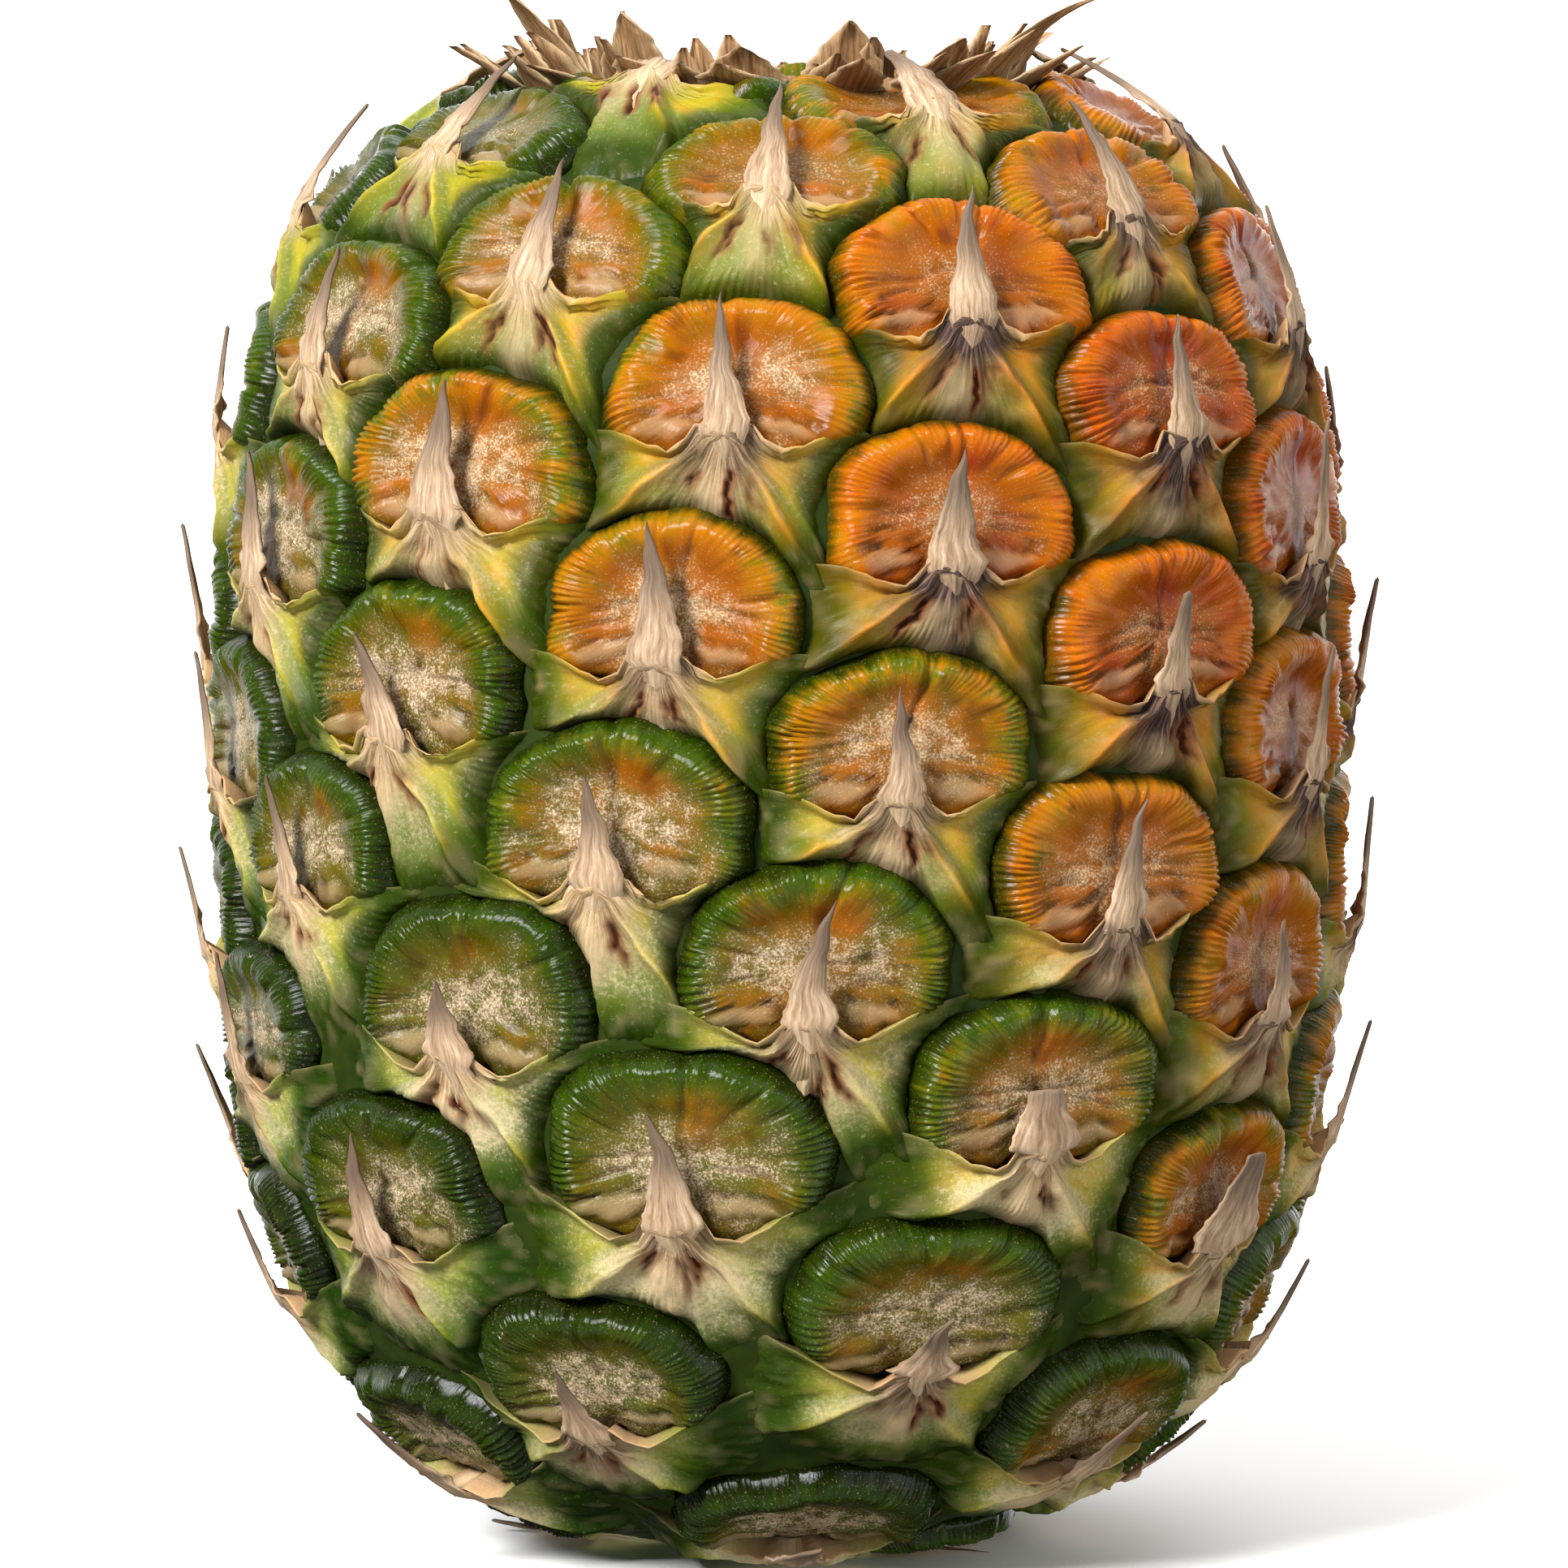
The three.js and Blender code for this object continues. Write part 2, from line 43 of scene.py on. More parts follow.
# The body and its spiral of eyes, as in the part's source.
BODY_RADIUS = 61.5
LOWER_HEIGHT, LOWER_POWER = 83.3, 2.75
UPPER_HEIGHT, UPPER_POWER = 79, 3.2
BODY_CENTRE = 82
FIRST_EYE, LAST_EYE, MIDDLE_EYE = -11, 81, 35
TURN_OF_MIDDLE, TURN_STEP, TURN_DRIFT = 202.9, -137.813, -0.0048
SKIN_BELOW_MIDDLE, SKIN_STEP, SKIN_DRIFT = 32165, 684.3, -0.0022
BENDS = ((-55, 77, 36, -11.5, 10.2), (56, 58, 36, 9.9, 3.0), (69, 168, 39, -6.9, 5.6))
SIZE_SPREAD = 0.06
# Single eyes of the photographed side that stand out of line: mm east and north.
SHIFTS = {-3: (2.2, 0.5), 8: (2.4, -1), 13: (-1.5, 1), 16: (0.8, -1.6), 23: (-2, 1.8), 24: (0.4, 0.9)}
SHIFTS |= {29: (0, 0.8), 34: (3, -0.7), 36: (0, 3), 37: (0, -0.6), 42: (2.2, -0.8), 45: (0.8, -2.8)}
SHIFTS |= {49: (-2.4, 0.6), 50: (2.8, 0), 52: (-1.3, 0)}
SHIFTS |= {63: (2.8, 0), 65: (-2, 0.5), 68: (2, 0), 70: (-2.4, -1.6), 76: (2, -1.6)}

# One eye, in mm east and north of its node before the eye's own size.
CAP_EAST, CAP_HALF, CAP_MIDDLE, CAP_ABOVE, CAP_BELOW = 1.0, 14.8, 5.4, 10.2, 9.0
CAP_ROUND, CAP_SQUARE = 2.2, 3  # powers of the outline above and below its widest line
CAP_DIP, CAP_WALL = -1.5, 3.7
PLEAT_WIDTH = 0.85
LEFT_LIP, RIGHT_LIP = 175.5, 364.5  # turns of a bract's lips round its node
LIP_SLOPE = math.tan(math.radians(4.5))
SPINE_LENGTH, SPINE_SPREAD, SPINE_START = 12, 2.2, -9
NODE_HEIGHT = 1.4

# The scar of the crown.
SCAR_HEIGHT, SCAR_RADIUS, SCAR_FLOOR, SCAR_FLOOR_RADIUS, SCAR_TILT = 157.2, 27, -5.5, 15, -3
SCAR_SLOPE = -SCAR_FLOOR / (SCAR_RADIUS - SCAR_FLOOR_RADIUS)
# Torn leaf bases: turn in degrees from the front, radius, width, length and bow in mm, lean and twist in degrees.
LEAVES = (
    (-68, 23.5, 8.5, 13, 30, 2, 20),
    (-102, 22.5, 8, 9, 10, 1, -10),
    (-38, 24, 11, 8.5, 14, 1, -12),
    (-9, 23.5, 9.4, 5, 24, 1, 8),
    (17, 23.5, 10, 7.5, 8, 0, -8),
    (44, 24, 9, 6, 24, 1, 12),
    (72, 22.5, 10, 14, 40, 4, -14),
    (100, 22.5, 9, 9, 34, 2, 12),
    (127, 23.5, 8.6, 5, 30, 1, -10),
    (152, 23.5, 8.6, 4, 30, 1, 8),
    (178, 23.5, 8.6, 3.5, 34, 1, -8),
    (-156, 23.5, 8.6, 4, 30, 1, 10),
    (-129, 23.5, 8.2, 5.5, 26, 2, -8),
)

# What is odd about single eyes of the photographed side, by their places on the spiral: their size against the usual
# one, spines that are broken short or curled up, those with a blunt or broad end, bracts that have dried brown, and how
# much riper an eye is than its neighbours.
SIZES = {3: 0.93, 11: 0.93, 13: 1.13, 16: 0.9, 18: 0.96, 24: 0.88, 29: 0.94, 34: 1.04, 37: 0.94, 47: 1.03}
SHORTER = {18: 0.45, 44: 0.8, 21: 0.65, 5: 0.6}
BLUNTER = {18: 0.5, 44: 0.8, 10: 0.75}
BROADER = {18: 1.6, 10: 2.2, 5: 1.4}
DRIED = {0: 0.7, 8: 0.55, 3: 0.7, 5: 0.6, 16: 0.4, 13: 0.3, 39: 0.5, 26: 0.3}
RIPER = {52: 1.1, 57: 0.4, 44: 1.0, 31: 1.0, 10: 0.8, 47: 0.7, 55: 1.0, 23: 0.6, 65: 0.6, 39: -0.45}

COARSE = 1
CAP_RAYS, BRACT_RAYS, BRACT_RINGS = 300 // COARSE, 180 // COARSE, 19
CREASE_DEPTH = 3.0
FULL_TURN = 6.28
INDEX_WAVE, KIND_WAVE, THIRD_WAVE, WAVE_HEIGHT = 12.9898, 78.233, 37.719, 43758.5453


def draw(index, kind):
    """Repeatable draw from 0 to 1 for each eye or leaf and quality: the fraction of a large multiple of a sine."""
    wave = np.sin(np.asarray(index, float) * INDEX_WAVE + kind * KIND_WAVE) * WAVE_HEIGHT
    return wave - np.floor(wave)


def spread(index, kind, size):
    """The same draw spread evenly over -size to size."""
    return (2 * draw(index, kind) - 1) * size


def smooth(value, low, high):
    """S curve 3t^2 - 2t^3 of how far a value is on its way from low to high."""
    share = np.clip((value - low) / (high - low), 0, 1)
    return share * share * (3 - 2 * share)


def bell(distance, width):
    """Bell curve: 1 at no distance, falling to a third at one width."""
    return np.exp(-((distance / width) ** 2))


def ripple(place, index, kind):
    """Uneven wave of about -1 to 1 along a place in mm: three sines whose phases are drawn for each eye."""
    total = np.sin(place + FULL_TURN * draw(index, kind))
    total = total + 0.6 * np.sin(2.3 * place + FULL_TURN * draw(index, kind + 0.3))
    return (total + 0.5 * np.sin(4.1 * place + FULL_TURN * draw(index, kind + 0.6))) / 1.6


def lobes(turn, index, kind):
    """Uneven wave of about -1 to 1 round a full turn: sines of 2, 3 and 5 times the turn, drawn for each eye."""
    total = np.sin(2 * turn + FULL_TURN * draw(index, kind)) + 0.6 * np.sin(3 * turn + FULL_TURN * draw(index, kind + 0.3))
    return (total + 0.5 * np.sin(5 * turn + FULL_TURN * draw(index, kind + 0.6))) / 1.6


def lumps(place, size, kind):
    """Smooth random field of about -1 to 1 with lumps of a size in mm: each corner of a cubic lattice has a draw, and
    the eight draws round a point are mixed by its S-curve distances to them."""
    cell = place / size
    low = np.floor(cell)
    part = cell - low
    part = part * part * (3 - 2 * part)
    total = 0
    for corner in range(8):
        step = np.array([corner & 1, corner >> 1 & 1, corner >> 2])
        wave = np.sin((low + step) @ np.array([INDEX_WAVE, KIND_WAVE, THIRD_WAVE]) + 4.1 * kind) * WAVE_HEIGHT
        weight = np.prod(np.where(step, part, 1 - part), -1)
        total = total + weight * (2 * (wave - np.floor(wave)) - 1)
    return total


def skin_share(radius, height):
    """How far out a point is, 1 on the skin: the superellipse sum of its radius and height, upper or lower half."""
    power = np.where(height < 0, LOWER_POWER, UPPER_POWER)
    reach = np.where(height < 0, LOWER_HEIGHT, UPPER_HEIGHT)
    return ((radius / BODY_RADIUS) ** power + (np.abs(height) / reach) ** power) ** (1 / power)


def onto_skin(points, height):
    """Points drawn in to the skin from the body's middle, then lifted along the skin's normal by a height."""
    x, y, z = np.moveaxis(points, -1, 0)
    share = skin_share(np.hypot(x, y), z)
    x, y, z = x / share, y / share, z / share
    power = np.where(z < 0, LOWER_POWER, UPPER_POWER)
    reach = np.where(z < 0, LOWER_HEIGHT, UPPER_HEIGHT)
    radius = np.maximum(np.hypot(x, y), 1e-6)
    outward = (radius / BODY_RADIUS) ** (power - 1) / BODY_RADIUS
    upward = np.sign(z) * (np.abs(z) / reach) ** (power - 1) / reach
    normal = np.stack([x / radius * outward, y / radius * outward, upward], -1)
    normal /= np.linalg.norm(normal, axis=-1, keepdims=True)
    return np.stack([x, y, z], -1) + normal * np.asarray(height)[..., None], normal


def body_outline():
    """Radius, height, arc length and skin area along the outline from the bottom pole to the top one."""
    angle = np.radians(np.linspace(-90, 90, 1201))
    across, up = np.maximum(np.cos(angle), 0), np.sin(angle)
    reach = 1 / skin_share(across, up)
    radius, height = across * reach, up * reach
    step = np.hypot(np.diff(radius), np.diff(height))
    arc = np.concatenate([[0], np.cumsum(step)])
    skin = np.concatenate([[0], np.cumsum(np.pi * (radius[1:] + radius[:-1]) * step)])
    return radius, height, arc, skin


OUTLINE_RADIUS, OUTLINE_HEIGHT, OUTLINE_ARC, OUTLINE_SKIN = body_outline()


class Eyes:
    """The spiral of eyes: each a golden turn on and with the same share of the skin, pushed where the rows bend."""

    def __init__(self, index):
        self.index = index
        steps = index - MIDDLE_EYE
        turn = np.radians(TURN_OF_MIDDLE + TURN_STEP * steps + TURN_DRIFT * steps**2)
        skin = SKIN_BELOW_MIDDLE + SKIN_STEP * steps + SKIN_DRIFT * steps**2
        start = np.interp(skin, OUTLINE_SKIN, OUTLINE_ARC)
        across = np.interp(skin, OUTLINE_SKIN, OUTLINE_RADIUS)
        arc = start.copy()
        for bend_turn, bend_arc, reach, east, north in BENDS:
            away = turn - math.radians(bend_turn)
            beside = np.arctan2(np.sin(away), np.cos(away)) * across
            push = np.exp(-(beside**2 + (start - bend_arc) ** 2) / reach**2)
            turn = turn + push * east / across
            arc = arc + push * north
        east, north = np.array([SHIFTS.get(int(i), (0, 0)) for i in index]).T
        turn = turn + east / across
        radius = np.interp(arc + north, OUTLINE_ARC, OUTLINE_RADIUS)
        height = np.interp(arc + north, OUTLINE_ARC, OUTLINE_HEIGHT)
        around = np.stack([np.sin(turn), -np.cos(turn)], -1)
        self.place, self.normal = onto_skin(np.concatenate([radius[:, None] * around, height[:, None]], -1), 0)
        self.east = np.stack([np.cos(turn), np.sin(turn), 0 * turn], -1)
        self.north = np.cross(self.normal, self.east)
        self.size = (0.74 + 0.26 * smooth(radius, 8, 40)) * (1 + spread(index, 1, SIZE_SPREAD))
        self.size = self.size * np.array([SIZES.get(int(i), 1) for i in index])
        self.height = height
        riper = np.array([RIPER.get(int(i), 0) for i in index])
        dull = 0.11 * np.maximum(height - 40, 0)
        self.ripeness = -0.35 + 2.6 * np.sin(turn) + 0.045 * height - dull + riper + spread(index, 9, 0.3)

    def points(self, east, north, height):
        """Places of the eyes' own grids: stepped east and north on the tangent plane, drawn to the skin and lifted."""
        size = self.size[:, None, None]
        flat = self.place[:, None, None, :] + (size * east)[..., None] * self.east[:, None, None, :]
        flat = flat + (size * north)[..., None] * self.north[:, None, None, :]
        return onto_skin(flat, height * size)[0]

    def beside_node(self, points):
        """East and north of each eye's node of places on the skin near it, as points() takes them."""
        place, normal, east, north = (v[:, None, None, :] for v in (self.place, self.normal, self.east, self.north))
        facing = np.maximum((points * normal).sum(-1), 1e-6)
        flat = points * ((place * normal).sum(-1) / facing)[..., None] - place
        size = self.each(self.size)
        return (flat * east).sum(-1) / size, (flat * north).sum(-1) / size

    def each(self, values):
        """One value for each eye, ready to be used over the eye's grid."""
        return np.asarray(values)[:, None, None]

    def odd(self, values, usual=1):
        """The values given for single eyes, and the usual one for the others, over the eyes' grids."""
        return self.each([values.get(int(i), usual) for i in self.index])


EYES = Eyes(np.arange(FIRST_EYE, LAST_EYE + 1))


def settle(points):
    """Points in their final place: none under the ground, and none standing over the bowl of the scar."""
    x, y = points[..., 0], points[..., 1]
    z = points[..., 2] + BODY_CENTRE
    z = 0.6 * np.logaddexp(0, z / 0.6)
    tilt = math.radians(SCAR_TILT)
    beside = y * math.cos(tilt) + (z - SCAR_HEIGHT) * math.sin(tilt)
    above = -y * math.sin(tilt) + (z - SCAR_HEIGHT) * math.cos(tilt)
    radius = np.hypot(x, beside)
    bowl = np.clip(SCAR_SLOPE * (radius - SCAR_RADIUS), SCAR_FLOOR, 0) - 0.8
    over = np.where(radius < SCAR_RADIUS + 0.5, np.maximum(above - bowl, 0), 0)
    return np.stack([x, y, z - over], -1)


def grid_faces(count, rows, columns, around=False):
    """Corner numbers of the cells of `count` grids of rows x columns points; `around` joins the last row to the first."""
    row = np.arange(rows if around else rows - 1)[:, None]
    column = np.arange(columns - 1)[None, :]
    first, after = row * columns + column, (row + 1) % rows * columns + column
    cells = np.stack([first, after, after + 1, first + 1], -1).reshape(-1, 4)
    return (np.arange(count)[:, None, None] * rows * columns + cells).reshape(-1, 4)


def fan_faces(count, ring, start, centres):
    """Triangles from the corners of closed rings to one centre each; ring counts within a grid of `start` points."""
    offset = np.arange(count)[:, None] * start
    one, two = offset + ring[None, :], offset + np.roll(ring, -1)[None, :]
    centre = np.broadcast_to(centres[:, None], one.shape)
    return np.stack([one, two, centre], -1).reshape(-1, 3)


def make_piece(name, points, quads, triangles, marks, material, slot, *replaced):
    """A mesh object in metres from points in mm, with its marks as attributes of the points."""
    mesh = bpy.data.meshes.new(name)
    corners = np.concatenate([quads.ravel(), triangles.ravel()]).astype(np.int32)
    starts = np.concatenate([np.arange(len(quads)) * 4, 4 * len(quads) + np.arange(len(triangles)) * 3])
    mesh.vertices.add(len(points))
    mesh.vertices.foreach_set("co", (points / 1000).astype(np.float32).ravel())
    mesh.loops.add(len(corners))
    mesh.loops.foreach_set("vertex_index", corners)
    mesh.polygons.add(len(starts))
    mesh.polygons.foreach_set("loop_start", starts.astype(np.int32))
    mesh.polygons.foreach_set("use_smooth", np.ones(len(starts), bool))
    mesh.update(calc_edges=True)
    for key, values in marks.items():
        wide = values.ndim == 2
        kind = "FLOAT_VECTOR" if wide else "FLOAT"
        layer = mesh.attributes.new(key, kind, "POINT")
        layer.data.foreach_set("vector" if wide else "value", values.astype(np.float32).ravel())
    mesh.validate()
    mesh.materials.append(material)
    piece = bpy.data.objects.new(name, mesh)
    bpy.context.scene.collection.objects.link(piece)
    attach(piece, "root")
    if replaced:
        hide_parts(*replaced)
    return piece


def with_ends(values, ends):
    """Marks of some eyes' grids as one list of points, then each grid's value at every end's corner number."""
    flat = values.reshape(len(values), -1, values.shape[-1])
    flat = np.concatenate([flat.reshape(-1, values.shape[-1])] + [flat[:, end] for end in ends])
    return flat if values.shape[-1] == 3 else flat[:, 0]


def groove(east, north, start, end, width):
    """Bell curve of the distance from points to the line from start to end, for lines drawn on each eye."""
    along_e, along_n = end[0] - start[0], end[1] - start[1]
    share = ((east - start[0]) * along_e + (north - start[1]) * along_n) / (along_e**2 + along_n**2)
    share = np.clip(share, 0, 1)
    return bell(np.hypot(east - start[0] - share * along_e, north - start[1] - share * along_n), width)


def lip_north(radius):
    """How far north of a bract's straight lip line its edge is, a radius away from the node: up at the spine's foot and
    sagging halfway to the wing."""
    return 1.7 * bell(radius - 2.4, 1.1) - 2.2 * bell(radius - 6, 4.2)


def cap_share(east, north):
    """How far out a point of an eye is on its cap, 1 on the outline: a superellipse, squarer below its widest line."""
    above = north > CAP_MIDDLE
    up = np.abs(north - CAP_MIDDLE) / np.where(above, CAP_ABOVE, CAP_BELOW)
    power = np.where(above, CAP_ROUND, CAP_SQUARE)
    return ((np.abs(east - CAP_EAST) / CAP_HALF) ** power + up**power) ** (1 / power)


def cap_rays(count):
    """Turns of the rays round a cap's middle, where each meets the outline in mm along it, and the outline's length.
    Most rays stand on the upper part, where the pleats show."""
    turn = np.linspace(0, 2 * np.pi, 2001)
    east, north = np.cos(turn), np.sin(turn)
    reach = 1 / cap_share(CAP_EAST + CAP_HALF * east, CAP_MIDDLE + np.where(north > 0, CAP_ABOVE, CAP_BELOW) * north)
    east, north = CAP_HALF * reach * east, np.where(north > 0, CAP_ABOVE, CAP_BELOW) * reach * north
    step = np.hypot(np.diff(east), np.diff(north))
    place = np.concatenate([[0], np.cumsum(step)])
    density = np.concatenate([[0], np.cumsum(step * np.where(north[1:] > -6, 1, 0.3))])
    even = np.arange(count) / count * density[-1]
    return np.interp(even, density, turn), np.interp(even, density, place), place[-1]


def lens(east, north, middle_e, middle_n, half, height, tilt):
    """Lens-shaped swelling: half a circle's height over an oval that tapers to a point at either end."""
    across = (east - middle_e) * math.cos(tilt) + (north - middle_n) * math.sin(tilt)
    up = (north - middle_n) * math.cos(tilt) - (east - middle_e) * math.sin(tilt)
    room = height * np.maximum(1 - (across / half) ** 2, 0) + 1e-6
    return np.sqrt(np.maximum(1 - (up / room) ** 2, 0)) * np.maximum(1 - (across / half) ** 2, 0) ** 0.5


def caps():
    """Caps of the eyes. Round the cap's middle each grid has rays and rings at growing shares of the outline. The height
    is a dip in the middle, a puffed crest and a rounded fall to the crease; pleats are a cosine along the crest, seams
    and folds are bell grooves, and the tips of the two lower sepals are pairs of lenses."""
    eyes, each = EYES, EYES.each
    index = each(eyes.index)
    rays = CAP_RAYS
    turn, place, length = cap_rays(rays)
    rings = [0.06, 0.16, 0.25, 0.33, 0.41, 0.48, 0.55, 0.62, 0.69, 0.755, 0.815, 0.87, 0.92, 0.965, 1.005, 1.05]
    rings = np.array(rings)
    turn, place, share = turn[None, :, None], place[None, :, None], rings[None, None, :]
    side_e, side_n = np.cos(turn), np.where(np.sin(turn) > 0, CAP_ABOVE, CAP_BELOW) * np.sin(turn)
    reach = 1 / cap_share(CAP_EAST + CAP_HALF * side_e, CAP_MIDDLE + side_n)
    top_turn = np.pi / 2 - 0.1 + spread(index, 11, 0.25)
    notch = bell(np.angle(np.exp(1j * (turn - top_turn))), 0.07)
    uneven = 0.05 * lobes(turn, index, 12) + 0.02 * lobes(3 * turn, index, 8) - 0.04 * draw(index, 10) * notch
    out = share * (1 + share * uneven)
    east = CAP_EAST + CAP_HALF * reach * side_e * out
    north = CAP_MIDDLE + reach * side_n * out
    aside = np.abs(east - CAP_EAST)
    crested = np.maximum(smooth(north, 1.5, 7), smooth(aside, 7.5, 10.5))
    dip = CAP_DIP * (1 + spread(index, 14, 0.3))
    height = dip * (1 - crested * smooth(share, 0.38, 0.76))
    height = height - CAP_WALL * np.clip((share - 0.79) / 0.26, 0, 1) ** 2.2
    rough = eyes.points(east, north, 0 * height)
    soft = lumps(rough, 3.4, 1), lumps(rough, 1.5, 2), lumps(rough, 0.8, 3)
    puff = smooth(share, 0.4, 0.7)
    height = height + (0.32 * soft[0] + 0.22 * soft[1]) * puff + 0.16 * soft[1] * (1 - puff) + 0.1 * soft[2]
    # Pleats stand round the crest, strongest on the flanks and the upper left, where some run far in.
    strong = np.clip(0.7 + 0.6 * soft[0] + 0.4 * soft[1] + 0.3 * lobes(turn, index, 15), 0.1, 1.5)
    flank = np.clip(0.4 + 0.7 * np.cos(turn) ** 2 + 0.3 * np.sin(turn - 2.2), 0.2, 1.2)
    inner = 0.66 + 0.06 * lobes(2 * turn, index, 13)
    band = smooth(share, inner, inner + 0.16) * (1 - smooth(share, 0.97, 1.04)) * smooth(north, -1, 1.5)
    pleats = round(length / PLEAT_WIDTH)
    wave = np.abs(np.cos(np.pi * pleats * place / length + 1.8 * lobes(2 * turn, index, 16) + 1.1 * soft[1])) - 0.6
    height = height + 0.65 * strong * flank * band * wave
    # Seams of the three sepals run from a small pit to the crest and to either side, with finer folds between.
    pit_e, pit_n = 1.2 + spread(index, 17, 0.8), 6.6 + spread(index, 18, 0.6)
    rim_e, rim_n = CAP_EAST + CAP_HALF * np.cos(top_turn), CAP_MIDDLE + CAP_ABOVE * np.sin(top_turn)
    bent_e, bent_n = east + 0.9 * soft[0] + 0.3 * soft[1], north + 0.9 * soft[0] + 0.3 * soft[1]
    seam = (0.3 + 0.7 * draw(index, 19)) * groove(bent_e, bent_n, (pit_e, pit_n), (rim_e, rim_n), 0.5)
    sides = np.maximum(
        draw(index, 33) * groove(bent_e, bent_n, (pit_e, pit_n), (-8.5, 5.0), 0.4),
        draw(index, 34) * groove(bent_e, bent_n, (pit_e, pit_n), (9.8, 4.6), 0.4),
    )
    folds = 0 * east
    for fold in range(7):
        angle = np.radians(5 + 27 * fold + spread(index, 20 + fold, 12))
        inner, outer = 0.3 + 0.3 * draw(index, 110 + fold), 0.97
        start = (CAP_HALF * inner * np.cos(angle), CAP_MIDDLE + CAP_ABOVE * inner * np.sin(angle))
        end = (CAP_HALF * outer * np.cos(angle), CAP_MIDDLE + CAP_ABOVE * outer * np.sin(angle))
        folds = np.maximum(folds, draw(index, 120 + fold) * groove(bent_e, bent_n, start, end, 0.55))
    pit = bell(np.hypot(bent_e - pit_e, bent_n - pit_n), 0.9) * draw(index, 35)
    height = height - 0.75 * seam * smooth(share, 0.1, 0.5) - 0.4 * sides - 0.7 * folds * puff - 0.7 * pit
    # On either side of the spine a greyish sepal tip lies under a riper one.
    low_n, half = 0.7 + spread(index, 30, 0.4), 3.9 + spread(index, 31, 0.6)
    # Each pair has a left and a right lens: east, north above low_n, added half length, height and tilt.
    lid, swell, around = (
        np.maximum(*(lens(bent_e, bent_n, e, low_n + n, half + more, high, tilt) for e, n, more, high, tilt in pair))
        for pair in (
            ((-6.3, 0, 0, 1.1, 0.1), (6.3, 0, 0, 1.2, -0.08)),
            ((-6.4, 1.9, 0, 0.9, 0.06), (6.5, 2.1, 0, 1.0, -0.1)),
            ((-6.3, 0.9, 1, 2.7, 0.08), (6.4, 1, 1, 3.0, -0.08)),
        )
    )
    slit = np.clip(around - 1.5 * np.maximum(lid, swell), 0, 1) * (0.4 + 0.6 * draw(index, 32))
    hem = north - LIP_SLOPE * np.abs(east) - lip_north(np.abs(east))
    under = 1 - smooth(hem + 1.4 * (1 - smooth(aside, 5, 8)), -1.6, 0)
    gap = (1 - smooth(hem + 0.3 * soft[0], -0.3, 0.7)) * (1 - smooth(aside, 7, 10))
    beside = bell(east - 2.9 - 0.2 * north, 0.6) * (1 - smooth(north, 1.0, 4.5)) * draw(index, 38)
    height = height + 0.36 * lid + 0.36 * swell - 0.3 * slit - 0.35 * np.maximum(gap, beside) - 1.6 * under

    points = settle(eyes.points(east, north, height))
    nothing = each(0 * eyes.size)
    middles = settle(eyes.points(nothing + CAP_EAST, nothing + CAP_MIDDLE, each(dip[:, 0, 0] - 0.1)))
    bottoms = settle(eyes.points(nothing + CAP_EAST, nothing + CAP_MIDDLE, nothing - 7.5))
    shape = east.shape
    # Marks that the rind's material reads.
    patch = bell(np.hypot(east - 3.0 + spread(index, 36, 2), north - 10.5), 2.2 + 1.2 * draw(index, 37))
    ripe = each(eyes.ripeness) + 1.6 * patch + 0.9 * soft[0] + 0.4 * soft[1]
    ragged = 0.05 * soft[0] + 0.03 * ripple(1.6 * place, index, 39)
    rim = smooth(share + ragged, 0.5, 0.87) * np.maximum(smooth(north, 2, 6), smooth(aside, 9, 12))
    riper = smooth(each(eyes.ripeness), 0.5, 2.5)
    dusty = smooth(share + 0.24 * soft[0] + 0.16 * soft[1] + 0.02 * (north - 5) + 0.14 * riper, 0.12, 0.82)
    dust = (1 - dusty) * (1 - 0.8 * patch) * (1 - 0.85 * swell) * (1 - 0.5 * lid)
    halo = groove(bent_e, bent_n, (pit_e, pit_n), (-7, 5.0), 1.3)
    halo = np.maximum(halo, groove(bent_e, bent_n, (pit_e, pit_n), (8, 4.6), 1.3))
    dust = np.clip(dust + 0.35 * halo * (1 - puff), 0, 1) * (1 - 0.4 * riper)
    dust = dust * (1 - 0.6 * smooth(each(eyes.height), 48, 66))
    # The dark mark is painted shade in the slits round the sepal tips, in the gap under the bract's lip and in the
    # grooves between the pleats, and a painted shadow of the spine beside its foot. The small pit and the seams are
    # darker too, and scabs are brown spots of the skin.
    dark = np.maximum(np.maximum(pit, 0.85 * slit), np.maximum(0.4 * sides, np.maximum(0.35 * gap, 0.6 * beside)))
    scab = smooth(0.7 * soft[0] + 0.6 * soft[1], 0.5, 0.75) * (1 - smooth(share, 0.75, 0.9))
    dark = np.clip(dark + 0.3 * seam * (1 - rim) + 0.5 * scab + 0.45 * band * strong * np.maximum(-wave, 0), 0, 1)
    marks = {"ripe": ripe + 0.8 * swell, "rim": rim, "dust": dust, "dark": dark, "lid": lid}
    # The outer wall falling into the crease, which the rind paints darker: partly its own green, partly painted shade.
    marks["outer"] = smooth(share + ragged, 0.86, 0.99)
    marks = {key: np.broadcast_to(values, shape)[..., None] for key, values in marks.items()}
    marks["grain"] = np.stack(np.broadcast_arrays(place, CAP_HALF * share, 9.0 * index), -1)

    each_grid = rays * len(rings)
    zones = ("ground", "low", "waist", "middle", "shoulder", "crown")
    for name, some in zip(zones, np.array_split(np.arange(len(eyes.index)), len(zones))):
        count = len(some)
        grids = points[some].reshape(-1, 3)
        all_points = np.concatenate([grids, middles[some].reshape(-1, 3), bottoms[some].reshape(-1, 3)])
        middle = len(grids) + np.arange(count)
        inner = fan_faces(count, np.arange(rays) * len(rings), each_grid, middle)
        outer = fan_faces(count, np.arange(rays)[::-1] * len(rings) + len(rings) - 1, each_grid, middle + count)
        quads = grid_faces(count, rays, len(rings), around=True)[:, ::-1]
        some_marks = {key: with_ends(values[some], [0, 0]) for key, values in marks.items()}
        make_piece(name + "_caps", all_points, quads, np.concatenate([inner, outer]), some_marks, RIND, "rind", "fruit")


